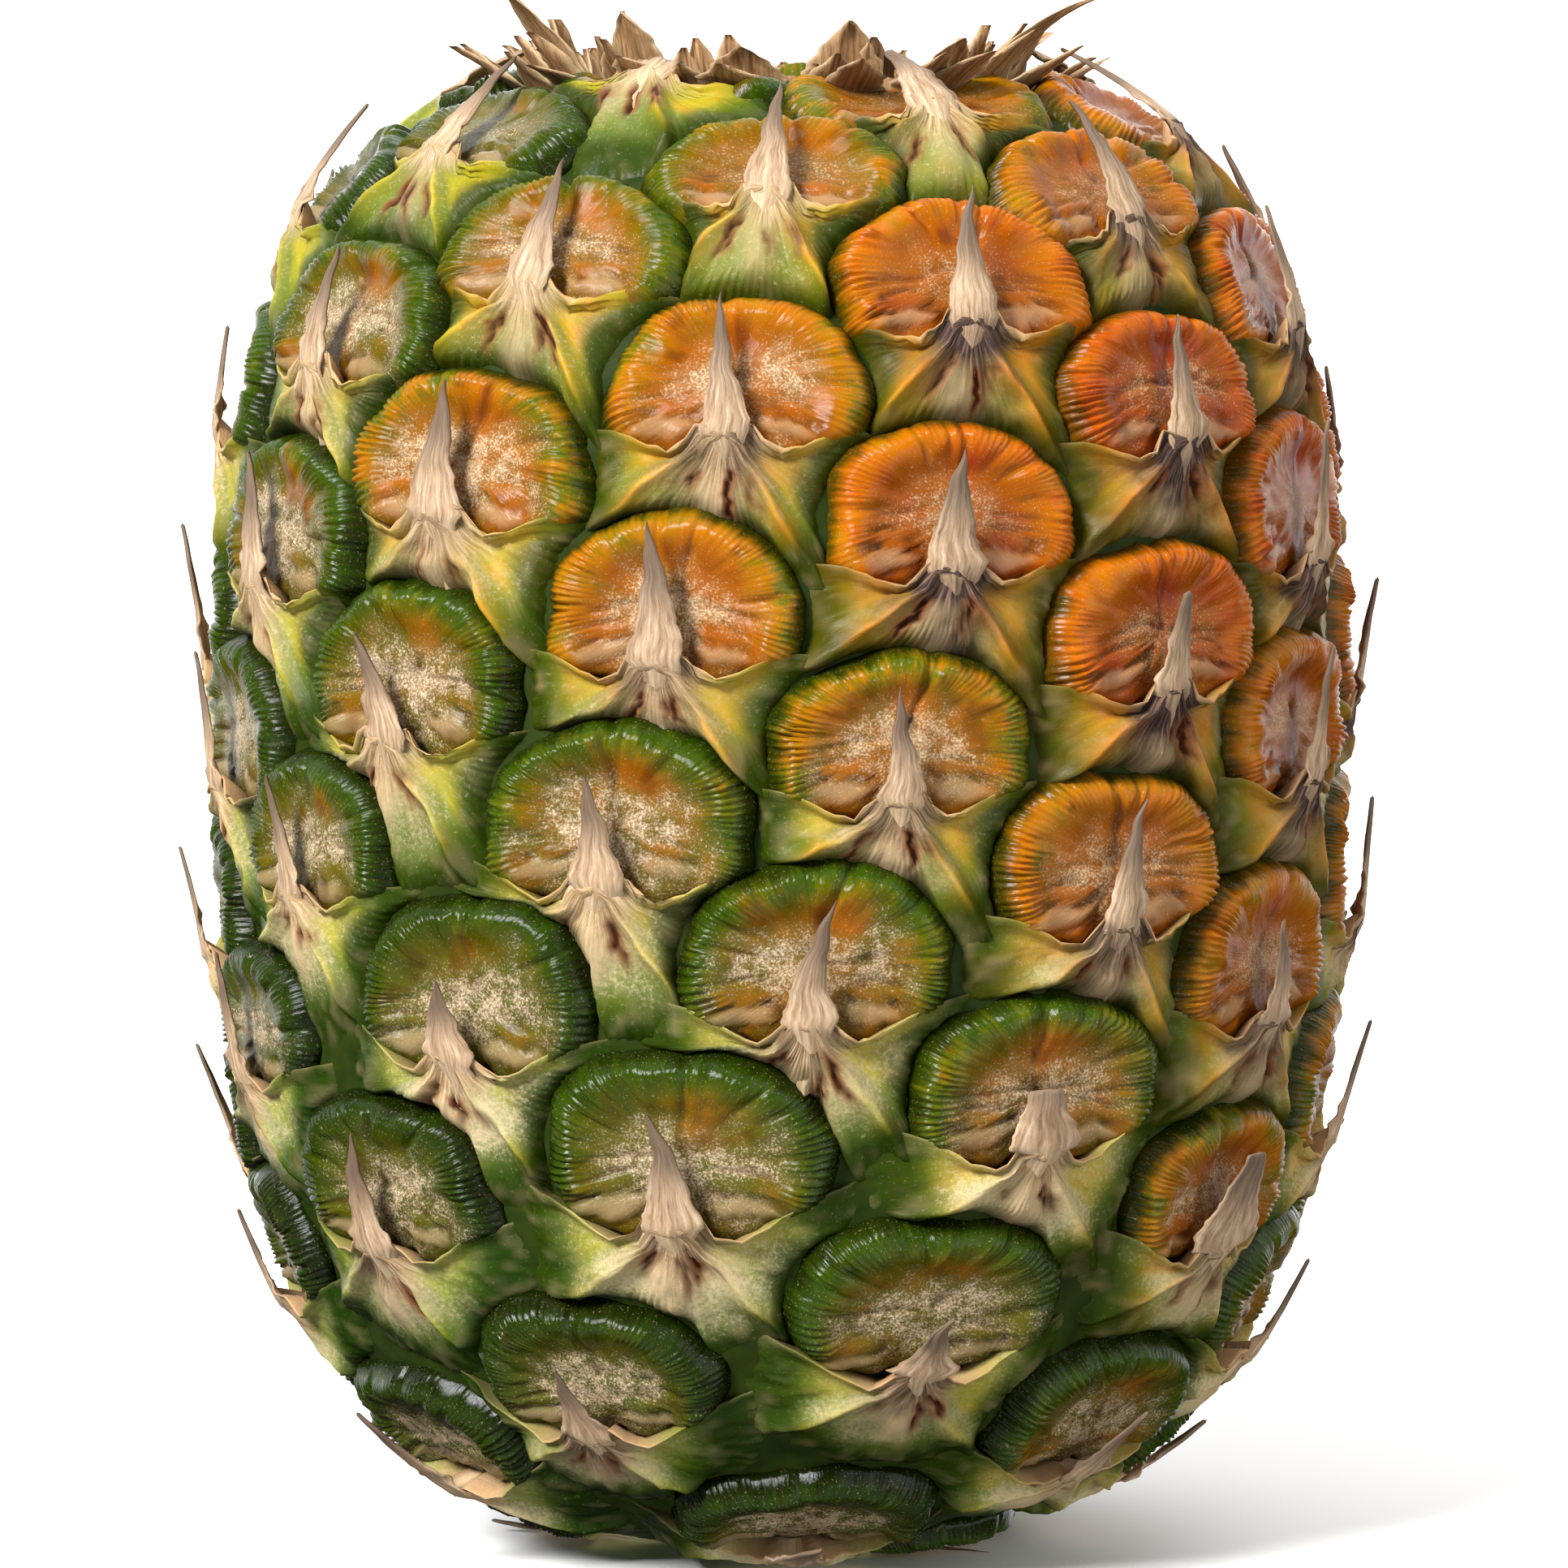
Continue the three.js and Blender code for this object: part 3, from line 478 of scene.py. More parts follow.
# Eyes whose caps may stand round a bract, by how many places they are before or after it on the spiral.
NEIGHBOURS = (-21, -13, -8, -5, -3, 3, 5, 8, 13)
UNDER_CAP = 1.4


def bract_reach(angle):
    """How far each ray from a node runs over the skin: to the outline of the first cap of another eye that it meets, and
    a little way under that cap; then smoothed over seven rays."""
    step = np.arange(4, 21.4, 0.4)
    east, north = step * np.cos(np.radians(angle))[:, None], step * np.sin(np.radians(angle))[:, None]
    places = EYES.points(east[None], north[None], np.zeros((1, 1, 1)))
    free = np.ones(places.shape[:-1], bool)
    for offset in NEIGHBOURS:
        other = Eyes(EYES.index + offset)
        missing = (other.index < FIRST_EYE) | (other.index > LAST_EYE)
        free &= (cap_share(*other.beside_node(places)) > 1) | missing[:, None, None]
    free[..., -1] = False
    reach = step[np.argmin(free, -1)] + UNDER_CAP
    return np.lib.stride_tricks.sliding_window_view(np.pad(reach, ((0, 0), (3, 3)), "edge"), 7, 1).mean(-1)


def bracts():
    """Bracts of the eyes. Round the node each grid has rays that turn from the left wing under the eye to the right one,
    and rings at growing shares of the way to the neighbours' caps. The height is a panel that falls away from the node
    and steeply at its margin, with a keel, two ridges and two lips as bells across the rays; the lips sag between node
    and wing and are torn, and the margins are pleated."""
    eyes, each = EYES, EYES.each
    index = each(eyes.index)
    angle = np.linspace(LEFT_LIP, RIGHT_LIP, BRACT_RAYS)
    reach = bract_reach(angle)[:, :, None]
    angle = angle[None, :, None]
    share = np.linspace(0, 1, BRACT_RINGS)[None, None, 1:]
    radius = reach * share
    inside = reach - radius
    far = np.minimum(radius / 18, 1)
    left, right = 216 + spread(index, 43, 5), 303 + spread(index, 44, 4)

    def across(line):
        return radius * np.radians(angle - line)

    # The lips sag south between node and wing, stand up as shoulders beside the spine and are torn along the edge.
    near = 1 - smooth(radius, 3, 10)
    sag = lip_north(radius - spread(index, 66, 0.6))
    torn = (0.08 + 0.42 * near) * (ripple(2.6 * radius, index, 65) + 0.4 * ripple(7 * radius, index, 67))
    torn = torn * smooth(radius, 1.5, 4)
    lifted = np.maximum(bell(across(LEFT_LIP), 2.4), bell(across(RIGHT_LIP), 2.4))
    east = radius * np.cos(np.radians(angle))
    north = radius * np.sin(np.radians(angle)) + lifted * (sag + torn)
    rough = eyes.points(east, north, 0 * north)
    soft = lumps(rough, 3.4, 4), lumps(rough, 1.4, 5), lumps(rough, 0.7, 8)

    bump = bell(radius, 2.8)
    panel = -0.7 - 1.3 * far + (NODE_HEIGHT + 0.7) * bump
    ridge = NODE_HEIGHT - 0.5 - 1.7 * far
    lip = 0.7 - 0.6 * far - 3.1 * far**3 + (NODE_HEIGHT - 0.7) * bump
    lip = lip + 0.35 * ripple(0.9 * radius, index, 45) * smooth(radius, 2, 5) * near
    lips = np.maximum(bell(across(LEFT_LIP), 1.2), bell(across(RIGHT_LIP), 1.2)) * (0.15 + 0.85 * smooth(inside, 0.5, 5))
    bend = 0.6 * soft[0] + 0.2 * soft[1]
    ridges = np.maximum(bell(across(left) + bend, 1.4), bell(across(right) + bend, 1.2)) * smooth(inside, 0.5, 4)
    lines = np.maximum(bell(across(left) + bend, 0.5), bell(across(right) + bend, 0.45)) * smooth(inside, 0.5, 3)
    keel_line = 262 + spread(index, 42, 8)
    keel = bell(across(keel_line) + 0.4 * bend, 2.2) * (1 - smooth(radius, 7, 13))
    height = panel + np.maximum((ridge - panel) * np.maximum(ridges, 0.8 * keel), (lip - panel) * lips) + 0.25 * lines
    height = height - 3 * (1 - smooth(inside, 0, 4.2)) ** 1.4 * (1 - 0.3 * lips) - 1.0 * smooth(radius, 13.5, 19)
    cracks, flaps = 0 * height, 0 * height
    for crack, line in enumerate((236, 278, 292)):
        middle = line + spread(index, 46 + crack, 8)
        start, end = 2.8 + 2 * draw(index, 50 + crack), 7 + 4 * draw(index, 53 + crack)
        body = smooth(radius, start, start + 1.2) * (1 - smooth(radius, end - 2.5, end))
        wander = across(middle) + 0.4 * ripple(1.1 * radius, index, 56 + crack) + 0.15 * soft[2]
        strength = 0.4 + 0.6 * draw(index, 60 + crack)
        wide = 0.2 + 0.16 * body + 0.1 * soft[1]
        cracks = np.maximum(cracks, strength * body * bell(wander, wide))
        flaps = np.maximum(flaps, strength * body * bell(np.abs(wander) - 0.4, 0.34))
    pleats = np.abs(np.cos(np.radians(angle) * 16 * np.pi / 1.25 + 0.8 * soft[0])) - 0.6
    edging = (1 - smooth(inside, 2.5, 6)) * smooth(inside, 0.6, 1.6) * (1 - lips) * (1 - ridges)
    height = height - 0.55 * cracks + 0.25 * flaps + 0.3 * pleats * edging * np.clip(0.6 + soft[0], 0.1, 1)
    height = height + (0.32 * soft[0] + 0.24 * soft[1] + 0.12 * soft[2]) * smooth(radius, 2, 5)

    points = settle(eyes.points(east, north, height))
    # The edge of each lip is turned under by a paper's thickness before the underside is closed to one point.
    under = settle(eyes.points(east[:, [0, -1]], north[:, [0, -1]] - 0.12, height[:, [0, -1]] - 0.3))
    points = np.concatenate([under[:, :1], points, under[:, 1:]], 1)
    nothing = each(0 * eyes.size)
    tips = settle(eyes.points(nothing, nothing, nothing + NODE_HEIGHT))
    bottoms = settle(eyes.points(nothing, nothing - 6, nothing - 8))
    shape = east.shape
    edge = np.maximum(bell(across(LEFT_LIP), 0.3), bell(across(RIGHT_LIP), 0.3))
    edge = edge * smooth(radius, 1, 3) * (0.1 + 0.9 * near)
    wing = np.maximum(smooth(left - angle, 4, 16), smooth(angle - right, 4, 16)) * smooth(radius, 2, 6)
    top = smooth(each(eyes.height), 38, 62)
    high = 1 - 0.5 * smooth(each(eyes.height), -28, 8)
    dried = np.maximum(smooth(each(eyes.ripeness) + 0.8 * soft[0], -0.2, 2.2), eyes.odd(DRIED, 0) + 0.3 * soft[0])
    open_skin = smooth(inside + 0.5 * soft[0], 1.4, 5.5) * (1 - smooth(radius + soft[0], 10, 16))
    golden = (0.85 - 0.25 * dried) * wing * open_skin * (1 - smooth(radius, 8, 14))
    bloom = smooth(radius, 1, 4) * (1 - smooth(radius + 2 * soft[0], 8, 16)) * open_skin * (1 - 0.5 * wing)
    # The sunk skin by the margin and the skin far from the node are painted darker green: partly their own colour,
    # partly painted shade.
    sunk = 1 - smooth(inside + 0.3 * soft[0] - 1.8 * wing, 1.9, 6.2)
    marks = {
        "ripe": each(eyes.ripeness) + 1.0 * soft[0] + 0.4 * soft[1] + 1.2 * top,
        "gold": np.maximum(np.maximum(lines, 0.4 * ridges) * smooth(radius, 3, 6), golden),
        "lip": edge,
        "keel": np.clip(keel * 1.1 + 0.25 * soft[1], 0, 1) * (1 - 0.6 * top),
        "bloom": bloom * (1 - 0.5 * top) * high,
        "crack": np.clip(cracks, 0, 1),
        "flap": flaps,
        "heart": bell(radius * (1 + 0.3 * soft[0] + 0.2 * soft[1]) * (1 + 0.35 * wing), 4.9 + 2.1 * dried - 1.4 * top),
        "withered": dried + 0 * radius,
        "deep": np.maximum(sunk, smooth(radius + soft[0], 9.5, 15.5)),
    }
    marks = {key: np.broadcast_to(values, shape)[..., None] for key, values in marks.items()}
    marks["grain"] = np.stack(np.broadcast_arrays(np.radians(angle) * 9, radius, 7.0 * index), -1)
    rows, columns = points.shape[1:3]
    outside = np.arange(1, rows) * columns + columns - 1
    back = (rows - 1) * columns + np.arange(columns - 1)[::-1]
    ring = np.concatenate([np.arange(columns), outside, back])
    zones = ("ground", "waist", "shoulder", "crown")
    for name, some in zip(zones, np.array_split(np.arange(len(eyes.index)), len(zones))):
        count = len(some)
        grids = points[some].reshape(-1, 3)
        tip = (len(grids) + np.arange(count))[:, None]
        all_points = np.concatenate([grids, tips[some].reshape(-1, 3), bottoms[some].reshape(-1, 3)])
        first = np.arange(count)[:, None] * rows * columns + np.arange(rows)[None, :] * columns
        inner = np.stack(np.broadcast_arrays(first[:, :-1], first[:, 1:], tip), -1).reshape(-1, 3)
        one = np.concatenate([tip, np.arange(count)[:, None] * rows * columns + ring[None, :], tip], 1)
        outer = np.stack(np.broadcast_arrays(one[:, 1:], one[:, :-1], tip + count), -1).reshape(-1, 3)
        quads = grid_faces(count, rows, columns)[:, ::-1]
        some_marks = {}
        for key, values in marks.items():
            values = np.concatenate([values[some, :1], values[some], values[some, -1:]], 1)
            some_marks[key] = with_ends(values, [0, 0])
        fans = np.concatenate([inner, outer])
        make_piece(name + "_bracts", all_points, quads, fans, some_marks, BRACT, "rind", "fruit")


SPINE_PLACES = (-9, -6, -3, -1, 0, 1, 2, 4, 6, 8, 10.5, 12)
SLENDER = (0.3, 1.0, 1.5, 2.1, 2.5, 2.4, 2.0, 1.4, 1.0, 0.68, 0.3, 0.03)
BROAD = (0.4, 1.4, 2.0, 2.8, 3.2, 3.1, 2.8, 2.2, 1.7, 1.15, 0.5, 0.03)


def spines():
    """Dry spines of the bracts. Each is a flattened tube: its rows run from under the node to the tip, its columns over
    the keeled outer face and back along the inner one a paper's thickness below."""
    eyes, each = EYES, EYES.each
    index = each(eyes.index)
    rows, half_columns = 44, 9
    share = (np.linspace(0, 1, rows) ** 1.1)[None, :, None]
    length = SPINE_LENGTH * (1 + spread(index, 2, 0.2)) * eyes.odd(SHORTER)
    place = SPINE_START + (length - SPINE_START) * share
    knot = np.where(place > 0, place * SPINE_LENGTH / length * eyes.odd(BLUNTER), place)
    slender = draw(index, 71) ** 0.7
    half = slender * np.interp(knot, SPINE_PLACES, SLENDER) + (1 - slender) * np.interp(knot, SPINE_PLACES, BROAD)
    half = half * np.where(knot > 0, eyes.odd(BROADER), 1)
    rise = 0.7 + 2.8 * draw(index, 72) ** 1.5
    middle = np.interp(knot, (-9, -6, -3, -1, 0, 2), (-2.4, -0.8, 0.5, 1.4, 1.7, 1.75))
    middle = middle + rise * np.clip(knot / SPINE_LENGTH, 0, 1) ** 1.4
    droop = np.interp(knot, (-9, -5, -2, 0, 1.5, 4, 14), (0.9, 1.0, 1.0, 0.9, 0.8, 0.5, 0.1))
    across = np.linspace(-1, 1, half_columns)
    across = np.concatenate([across, across[::-1]])[None, None, :]
    below = np.concatenate([np.zeros(half_columns), np.ones(half_columns)])[None, None, :]
    curl = 0.6 * np.abs(across) ** 5 * (ripple(0.8 * place + 2 * across, index, 73) + 0.5) * bell(place - 1, 3.5)
    height = middle - droop * np.abs(across) ** 1.3 + curl
    height = height + 0.05 * np.cos(7 * across + 4 * draw(index, 74)) * smooth(place, -6, 0)
    height = height - below * (0.25 + 0.3 * (1 - np.abs(across)) * (1 - 0.7 * share))
    lean = spread(index, 3, SPINE_SPREAD)
    wavy = 1 + 0.07 * ripple(1.5 * place + 9 * np.sign(across), index, 75)
    sway = lean * np.clip(knot / SPINE_LENGTH, 0, 1) ** 2 + 0.25 * ripple(0.45 * place, index, 76)
    east = half * wavy * across + sway
    points = settle(eyes.points(east, place + 0 * across, height))
    base = settle(eyes.points(sway[:, :1], place[:, :1], middle[:, :1] - 0.6))
    tip = settle(eyes.points(sway[:, -1:], length + 0.3, middle[:, -1:] - 0.15))
    count, columns = len(eyes.index), 2 * half_columns
    grids = points.reshape(-1, 3)
    all_points = np.concatenate([grids, base.reshape(-1, 3), tip.reshape(-1, 3)])
    first = np.arange(count)[:, None] * rows * columns + np.arange(rows - 1)[None, :] * columns
    closing = np.stack([first + columns - 1, first + 2 * columns - 1, first + columns, first], -1).reshape(-1, 4)
    quads = np.concatenate([grid_faces(count, rows, columns), closing])
    start = fan_faces(count, np.arange(columns), rows * columns, len(grids) + np.arange(count))
    ends = (rows - 1) * columns + np.arange(columns)[::-1]
    end = fan_faces(count, ends, rows * columns, len(grids) + count + np.arange(count))
    marks = {"along": smooth(knot, 1.5, 8.5), "foot": 1 - smooth(knot, -4, 2)}
    marks["withered"] = smooth(each(eyes.ripeness), -0.2, 2.2)
    marks = {key: np.broadcast_to(values, height.shape)[..., None] for key, values in marks.items()}
    marks["grain"] = np.stack(np.broadcast_arrays(2.2 * across, place, 5.0 * index), -1)
    marks = {key: with_ends(values, [0, rows * columns - 1]) for key, values in marks.items()}
    fans = np.concatenate([start, end])[:, ::-1]
    make_piece("spines", all_points, quads[:, ::-1], fans, marks, DRY_SPINE, "rind", "fruit")


def creases():
    """The dark skin between the eyes, its darkness painted shade: the body's outline turned round its axis, sunk to the
    depth of the creases and wrinkled by small lumps."""
    rows, columns = 180 // COARSE, 300 // COARSE
    arc = np.linspace(0.4, OUTLINE_ARC[-1] - 0.4, rows)[:, None]
    turn = 2 * np.pi * np.arange(columns)[None, :] / columns
    radius = np.interp(arc, OUTLINE_ARC, OUTLINE_RADIUS)
    height = np.interp(arc, OUTLINE_ARC, OUTLINE_HEIGHT) + 0 * turn
    flat = np.stack([radius * np.sin(turn), -radius * np.cos(turn), height], -1)
    sunk = -CREASE_DEPTH + 0.4 * lumps(flat, 3.4, 6) + 0.2 * lumps(flat, 1.6, 7)
    points = settle(onto_skin(flat, sunk)[0]).reshape(-1, 3)
    poles = settle(np.array([[0, 0, -LOWER_HEIGHT + 2.5], [0, 0, UPPER_HEIGHT - 2.5]]))
    row, column = np.arange(rows - 1)[:, None], np.arange(columns)[None, :]
    beside = (column + 1) % columns
    low, high = row * columns, (row + 1) * columns
    quads = np.stack([low + column, low + beside, high + beside, high + column], -1).reshape(-1, 4)
    start = fan_faces(1, np.arange(columns)[::-1], 0, np.array([len(points)]))
    end = fan_faces(1, (rows - 1) * columns + np.arange(columns), 0, np.array([len(points) + 1]))
    fans = np.concatenate([start, end])
    make_piece("creases", np.concatenate([points, poles]), quads, fans, {}, CREASE, "rind", "fruit")


def on_scar(x, y, z):
    """Points of the scar's own tilted frame as points of the fruit."""
    tilt = math.radians(SCAR_TILT)
    up = SCAR_HEIGHT + y * math.sin(tilt) + z * math.cos(tilt)
    return np.stack([x, y * math.cos(tilt) - z * math.sin(tilt), up], -1)


def scar():
    """The bowl that the crown left: a disc of rays and rings on the bowl's outline, with torn rings of leaf bases."""
    rays, rings = 240, 60
    turn = 2 * np.pi * np.arange(rays)[:, None] / rays
    radius = (SCAR_RADIUS + 1.4) * np.linspace(0.02, 1, rings)[None, :]
    height = np.clip(SCAR_SLOPE * (radius - SCAR_RADIUS), SCAR_FLOOR, 0.4)
    height = height + 0.8 * (1 - smooth(radius, 0, SCAR_FLOOR_RADIUS))
    tooth = (radius + 0.9 * ripple(3 * turn, 1, 80)) / 3.1
    torn = (tooth - np.floor(tooth)) ** 2 * smooth(radius, 7, 11)
    height = height + 0.7 * torn * (0.6 + 0.4 * ripple(7 * turn + np.floor(tooth), 2, 81)) - 0.3
    height = height + 0.12 * np.sin(46 * turn + radius) * smooth(radius, 5, 12)
    height = height + 0.15 * ripple(1.4 * radius, 3, 82) * ripple(9 * turn, 4, 83)
    height = height - 3 * smooth(radius, SCAR_RADIUS + 0.3, SCAR_RADIUS + 1.4)
    points = on_scar(radius * np.sin(turn), -radius * np.cos(turn), height).reshape(-1, 3)
    middle = on_scar(np.array([0.0]), np.array([0.0]), np.array([SCAR_FLOOR + 0.5]))
    under = on_scar(np.array([0.0]), np.array([0.0]), np.array([SCAR_FLOOR - 4.0]))
    quads = grid_faces(1, rays, rings, around=True)
    inner = fan_faces(1, np.arange(rays) * rings, 0, np.array([len(points)]))
    outer = fan_faces(1, np.arange(rays)[::-1] * rings + rings - 1, 0, np.array([len(points) + 1]))
    grain = np.stack(np.broadcast_arrays(turn * 16, radius, 0 * radius), -1).reshape(-1, 3)
    grain = np.concatenate([grain, [[0, 0, 0], [0, 0, 0]]])
    core = np.concatenate([(1 - smooth(radius + 0 * turn, 5, 9)).ravel(), [1, 1]])
    # The low parts between the torn rings are marked to be painted darker, as painted shade.
    deep = np.concatenate([(1 - torn).ravel(), [1, 1]])
    points, fans = np.concatenate([points, middle, under]), np.concatenate([inner, outer])
    marks = {"grain": grain, "core": core, "deep": deep}
    make_piece("crown_scar", points, quads[:, ::-1], fans, marks, SCAR_FLESH, "dry_leaf", "fruit")


def leaves():
    """Torn dry leaf bases, each a sheet of rows up the leaf and columns across it, narrowing to a torn tip, curled
    across, ribbed along its length and folded back behind itself a paper's thickness away."""
    rows, half_columns = 44, 15
    for number, (turn, radius, width, length, lean, bow, twist) in enumerate(LEAVES):
        share = np.linspace(0, 1, rows)[:, None]
        across = np.linspace(-1, 1, half_columns)
        across = np.concatenate([across, across[::-1]])[None, :]
        back = np.concatenate([np.zeros(half_columns), np.ones(half_columns)])[None, :]
        torn = 1 + 0.12 * ripple(9 * share + 4 * np.sign(across), number, 90)
        half = width / 2 * (1 - 0.96 * share ** (1.4 + 0.1 * max(12 - length, 0))) * torn
        swing = math.radians(twist) * share
        out = length * share * math.sin(math.radians(lean)) + bow * share**2
        curl = 1.4 * across**2 * (1 - share) + 0.5 * np.sin(3 * across + 5 * draw(number, 4)) * share
        ribs = 0.1 * np.sin(9 * across + 3 * share) + 0.22 * ripple(2.4 * across + 4 * share, number, 91)
        x = half * across * np.cos(swing)
        y = half * across * np.sin(swing) - out + curl + ribs + (back - 0.5) * 0.4 * (1 - 0.5 * share)
        z = -SCAR_SLOPE * y * (1 - share) + length * share * math.cos(math.radians(lean)) - 0.6 * (1 - share)
        angle = math.radians(turn)
        lift = SCAR_SLOPE * (radius - SCAR_RADIUS) + 0.35
        placed_x = radius * math.sin(angle) + x * math.cos(angle) - y * math.sin(angle)
        placed_y = -radius * math.cos(angle) + x * math.sin(angle) + y * math.cos(angle)
        points = on_scar(placed_x, placed_y, z + lift).reshape(-1, 3)
        columns = 2 * half_columns
        quads = grid_faces(1, rows, columns)
        closing = np.arange(rows - 1) * columns
        closing = np.stack([closing + columns - 1, closing + 2 * columns - 1, closing + columns, closing], -1)
        near = np.arange(half_columns - 1)
        end = np.stack([near, near + 1, columns - 2 - near, columns - 1 - near], -1)
        quads = np.concatenate([quads, closing, end[:, ::-1], (end + (rows - 1) * columns)])
        grain = np.stack(np.broadcast_arrays(half * across, length * share, 11.0 * number + 0 * share), -1)
        marks = {
            "along": np.broadcast_to(share, (rows, columns)).ravel(),
            "edge": np.broadcast_to(np.abs(across) ** 4, (rows, columns)).ravel(),
            "grain": grain.reshape(-1, 3),
        }
        name, leaf = ("%s_leaf_%02d" % (kind, number + 1) for kind in ("torn", "crown"))
        none = np.zeros((0, 3), int)
        make_piece(name, points, quads[:, ::-1], none, marks, DRY_LEAF, "dry_leaf", leaf)


# Torn scales in each ring round the bowl, and for each ring its radius in mm and its least and greatest lean in degrees.
SHREDS = 24
SHRED_RINGS = ((20.5, 5, 25), (24.0, 15, 45), (27.4, 45, 72))


def shreds():
    """Short torn scales of the crown's foot, packed in three rings round the bowl. Each is a sheet of rows up it and
    columns across it that narrows to a ragged tip, cupped, bowed outwards and folded back a paper's thickness behind."""
    number = np.arange(SHREDS * len(SHRED_RINGS))
    each = EYES.each
    ring = number // SHREDS
    turn = 2 * np.pi * (number + 0.37 * ring) / SHREDS + spread(number, 130, 0.12)
    radius, least, most = (np.array(SHRED_RINGS)[ring, part] for part in range(3))
    radius = each(radius + spread(number, 131, 1.0))
    lean = np.radians(each(least + (most - least) * draw(number, 134)))
    front = bell(np.angle(np.exp(1j * (turn + 0.14))), 0.5)
    length = each((4.5 + 4.5 * draw(number, 133)) * (1 - 0.45 * front))
    rows, half_columns = 12, 7
    share = np.linspace(0, 1, rows)[None, :, None]
    across = np.linspace(-1, 1, half_columns)
    across = np.concatenate([across, across[::-1]])[None, None, :]
    back = np.concatenate([np.zeros(half_columns), np.ones(half_columns)])[None, None, :]
    some = each(number)
    ragged = 1 + 0.2 * ripple(8 * share + 4 * np.sign(across), some, 135)
    x = (3.2 + 1.8 * draw(some, 132)) * (1 - 0.93 * share**1.7) * ragged * across + spread(some, 136, 2) * share**2
    out = length * share * np.sin(lean) + 2 * share**2 * draw(some, 137)
    y = 1.1 * across**2 * (1 - 0.5 * share) + 0.3 * ripple(2.4 * across + 4 * share, some, 138) - out
    y = y + (back - 0.5) * 0.35 * (1 - 0.5 * share)
    z = length * share * np.cos(lean) - 1.3 * (1 - share) + np.minimum(SCAR_SLOPE * (radius - SCAR_RADIUS), 0)
    side, ahead = np.sin(each(turn)), np.cos(each(turn))
    points = on_scar(radius * side + x * ahead - y * side, -radius * ahead + x * side + y * ahead, z)
    points = points.reshape(-1, 3)
    columns, count = 2 * half_columns, len(number)
    first = np.arange(count)[:, None] * rows * columns + np.arange(rows - 1)[None, :] * columns
    closing = np.stack([first + columns - 1, first + 2 * columns - 1, first + columns, first], -1).reshape(-1, 4)
    near = np.arange(half_columns - 1)
    end = np.stack([near, near + 1, columns - 2 - near, columns - 1 - near], -1)
    ends = np.concatenate([end[:, ::-1], end + (rows - 1) * columns])
    ends = (np.arange(count)[:, None, None] * rows * columns + ends).reshape(-1, 4)
    quads = np.concatenate([grid_faces(count, rows, columns), closing, ends])
    shape = (count, rows, columns)
    marks = {
        "along": np.broadcast_to(share, shape).ravel(),
        "edge": np.broadcast_to(np.abs(across) ** 4, shape).ravel(),
        "grain": np.stack(np.broadcast_arrays(x, length * share, 7.0 * some), -1).reshape(-1, 3),
    }
    make_piece("crown_shreds", points, quads[:, ::-1], np.zeros((0, 3), int), marks, DRY_LEAF, "dry_leaf")


def linear(colour):
    """An sRGB hex colour as linear red, green, blue and alpha."""
    parts = [int(colour[i : i + 2], 16) / 255 for i in (1, 3, 5)]
    return [part / 12.92 if part <= 0.04045 else ((part + 0.055) / 1.055) ** 2.4 for part in parts] + [1.0]


def feed(tree, inputs, values):
    """Each input gets a value, a hex colour or another node's output."""
    for key, value in values.items():
        if isinstance(value, bpy.types.NodeSocket):
            tree.links.new(value, inputs[key])
        else:
            inputs[key].default_value = linear(value) if isinstance(value, str) else value


def add(tree, kind, values, output=0, **settings):
    """A new shader node with its inputs and settings; gives back one of its outputs, or the node if it has none. The
    stops of a colour ramp are places and hex colours in turn."""
    made = tree.nodes.new("ShaderNode" + kind)
    stops = settings.pop("stops", ())
    for name, value in settings.items():
        setattr(made, name, value)
    if stops:
        elements = made.color_ramp.elements
        while len(elements) < len(stops) // 2:
            elements.new(0.5)
        for element, place, colour in zip(elements, stops[::2], stops[1::2]):
            element.position, element.color = place, linear(colour)
    feed(tree, made.inputs, values)
    return made.outputs[output] if made.outputs else made


def new_material(name, *marks):
    """An empty material, the inputs of its shader, and the outputs that its pattern reads: marks of the mesh by their
    names, "grain" as a vector, and "place" as the place on the object in metres."""
    material = bpy.data.materials.new(name)
    material.use_nodes = True
    tree = material.node_tree
    tree.nodes.clear()
    shader = add(tree, "BsdfPrincipled", {})
    add(tree, "OutputMaterial", {"Surface": shader})
    mark = {}
    for key in marks:
        if key == "place":
            mark[key] = add(tree, "TexCoord", {}, "Object")
        else:
            mark[key] = add(tree, "Attribute", {}, "Vector" if key == "grain" else "Fac", attribute_name=key)
    return material, tree, shader.node.inputs, mark


def paint(tree, skin, *coats):
    """Coats laid one over another on a skin: each a share from 0 to 1, how strongly it covers, and its colour."""
    for share, strength, colour in coats:
        if strength != 1:
            share = add(tree, "Math", {0: share, 1: strength}, operation="MULTIPLY", use_clamp=True)
        skin = add(tree, "Mix", {0: share, 6: skin, 7: colour}, 2, data_type="RGBA")
    return skin


def fibres(tree, grain, across, along, detail=6.0, roughness=0.7):
    """Streaks along a piece's grain: noise with this many lumps to a mm across the grain and along it."""
    stretched = add(tree, "Mapping", {"Vector": grain, "Scale": (across, along, 1.0)})
    return add(tree, "TexNoise", {"Vector": stretched, "Scale": 1.0, "Detail": detail, "Roughness": roughness})


def ripeness(tree, ripe, clouds, swing, streaks, least):
    """Ripeness of each point from 0 to 1: that of its mark, swung to either side by clouds and streaks."""
    for noise, size in ((clouds, swing), (streaks, 3.0)):
        shift = add(tree, "Math", {0: noise, 1: size, 2: -size / 2}, operation="MULTIPLY_ADD")
        ripe = add(tree, "Math", {0: ripe, 1: shift}, operation="ADD")
    return add(tree, "MapRange", {"Value": ripe, "From Min": least, "From Max": 5.0})


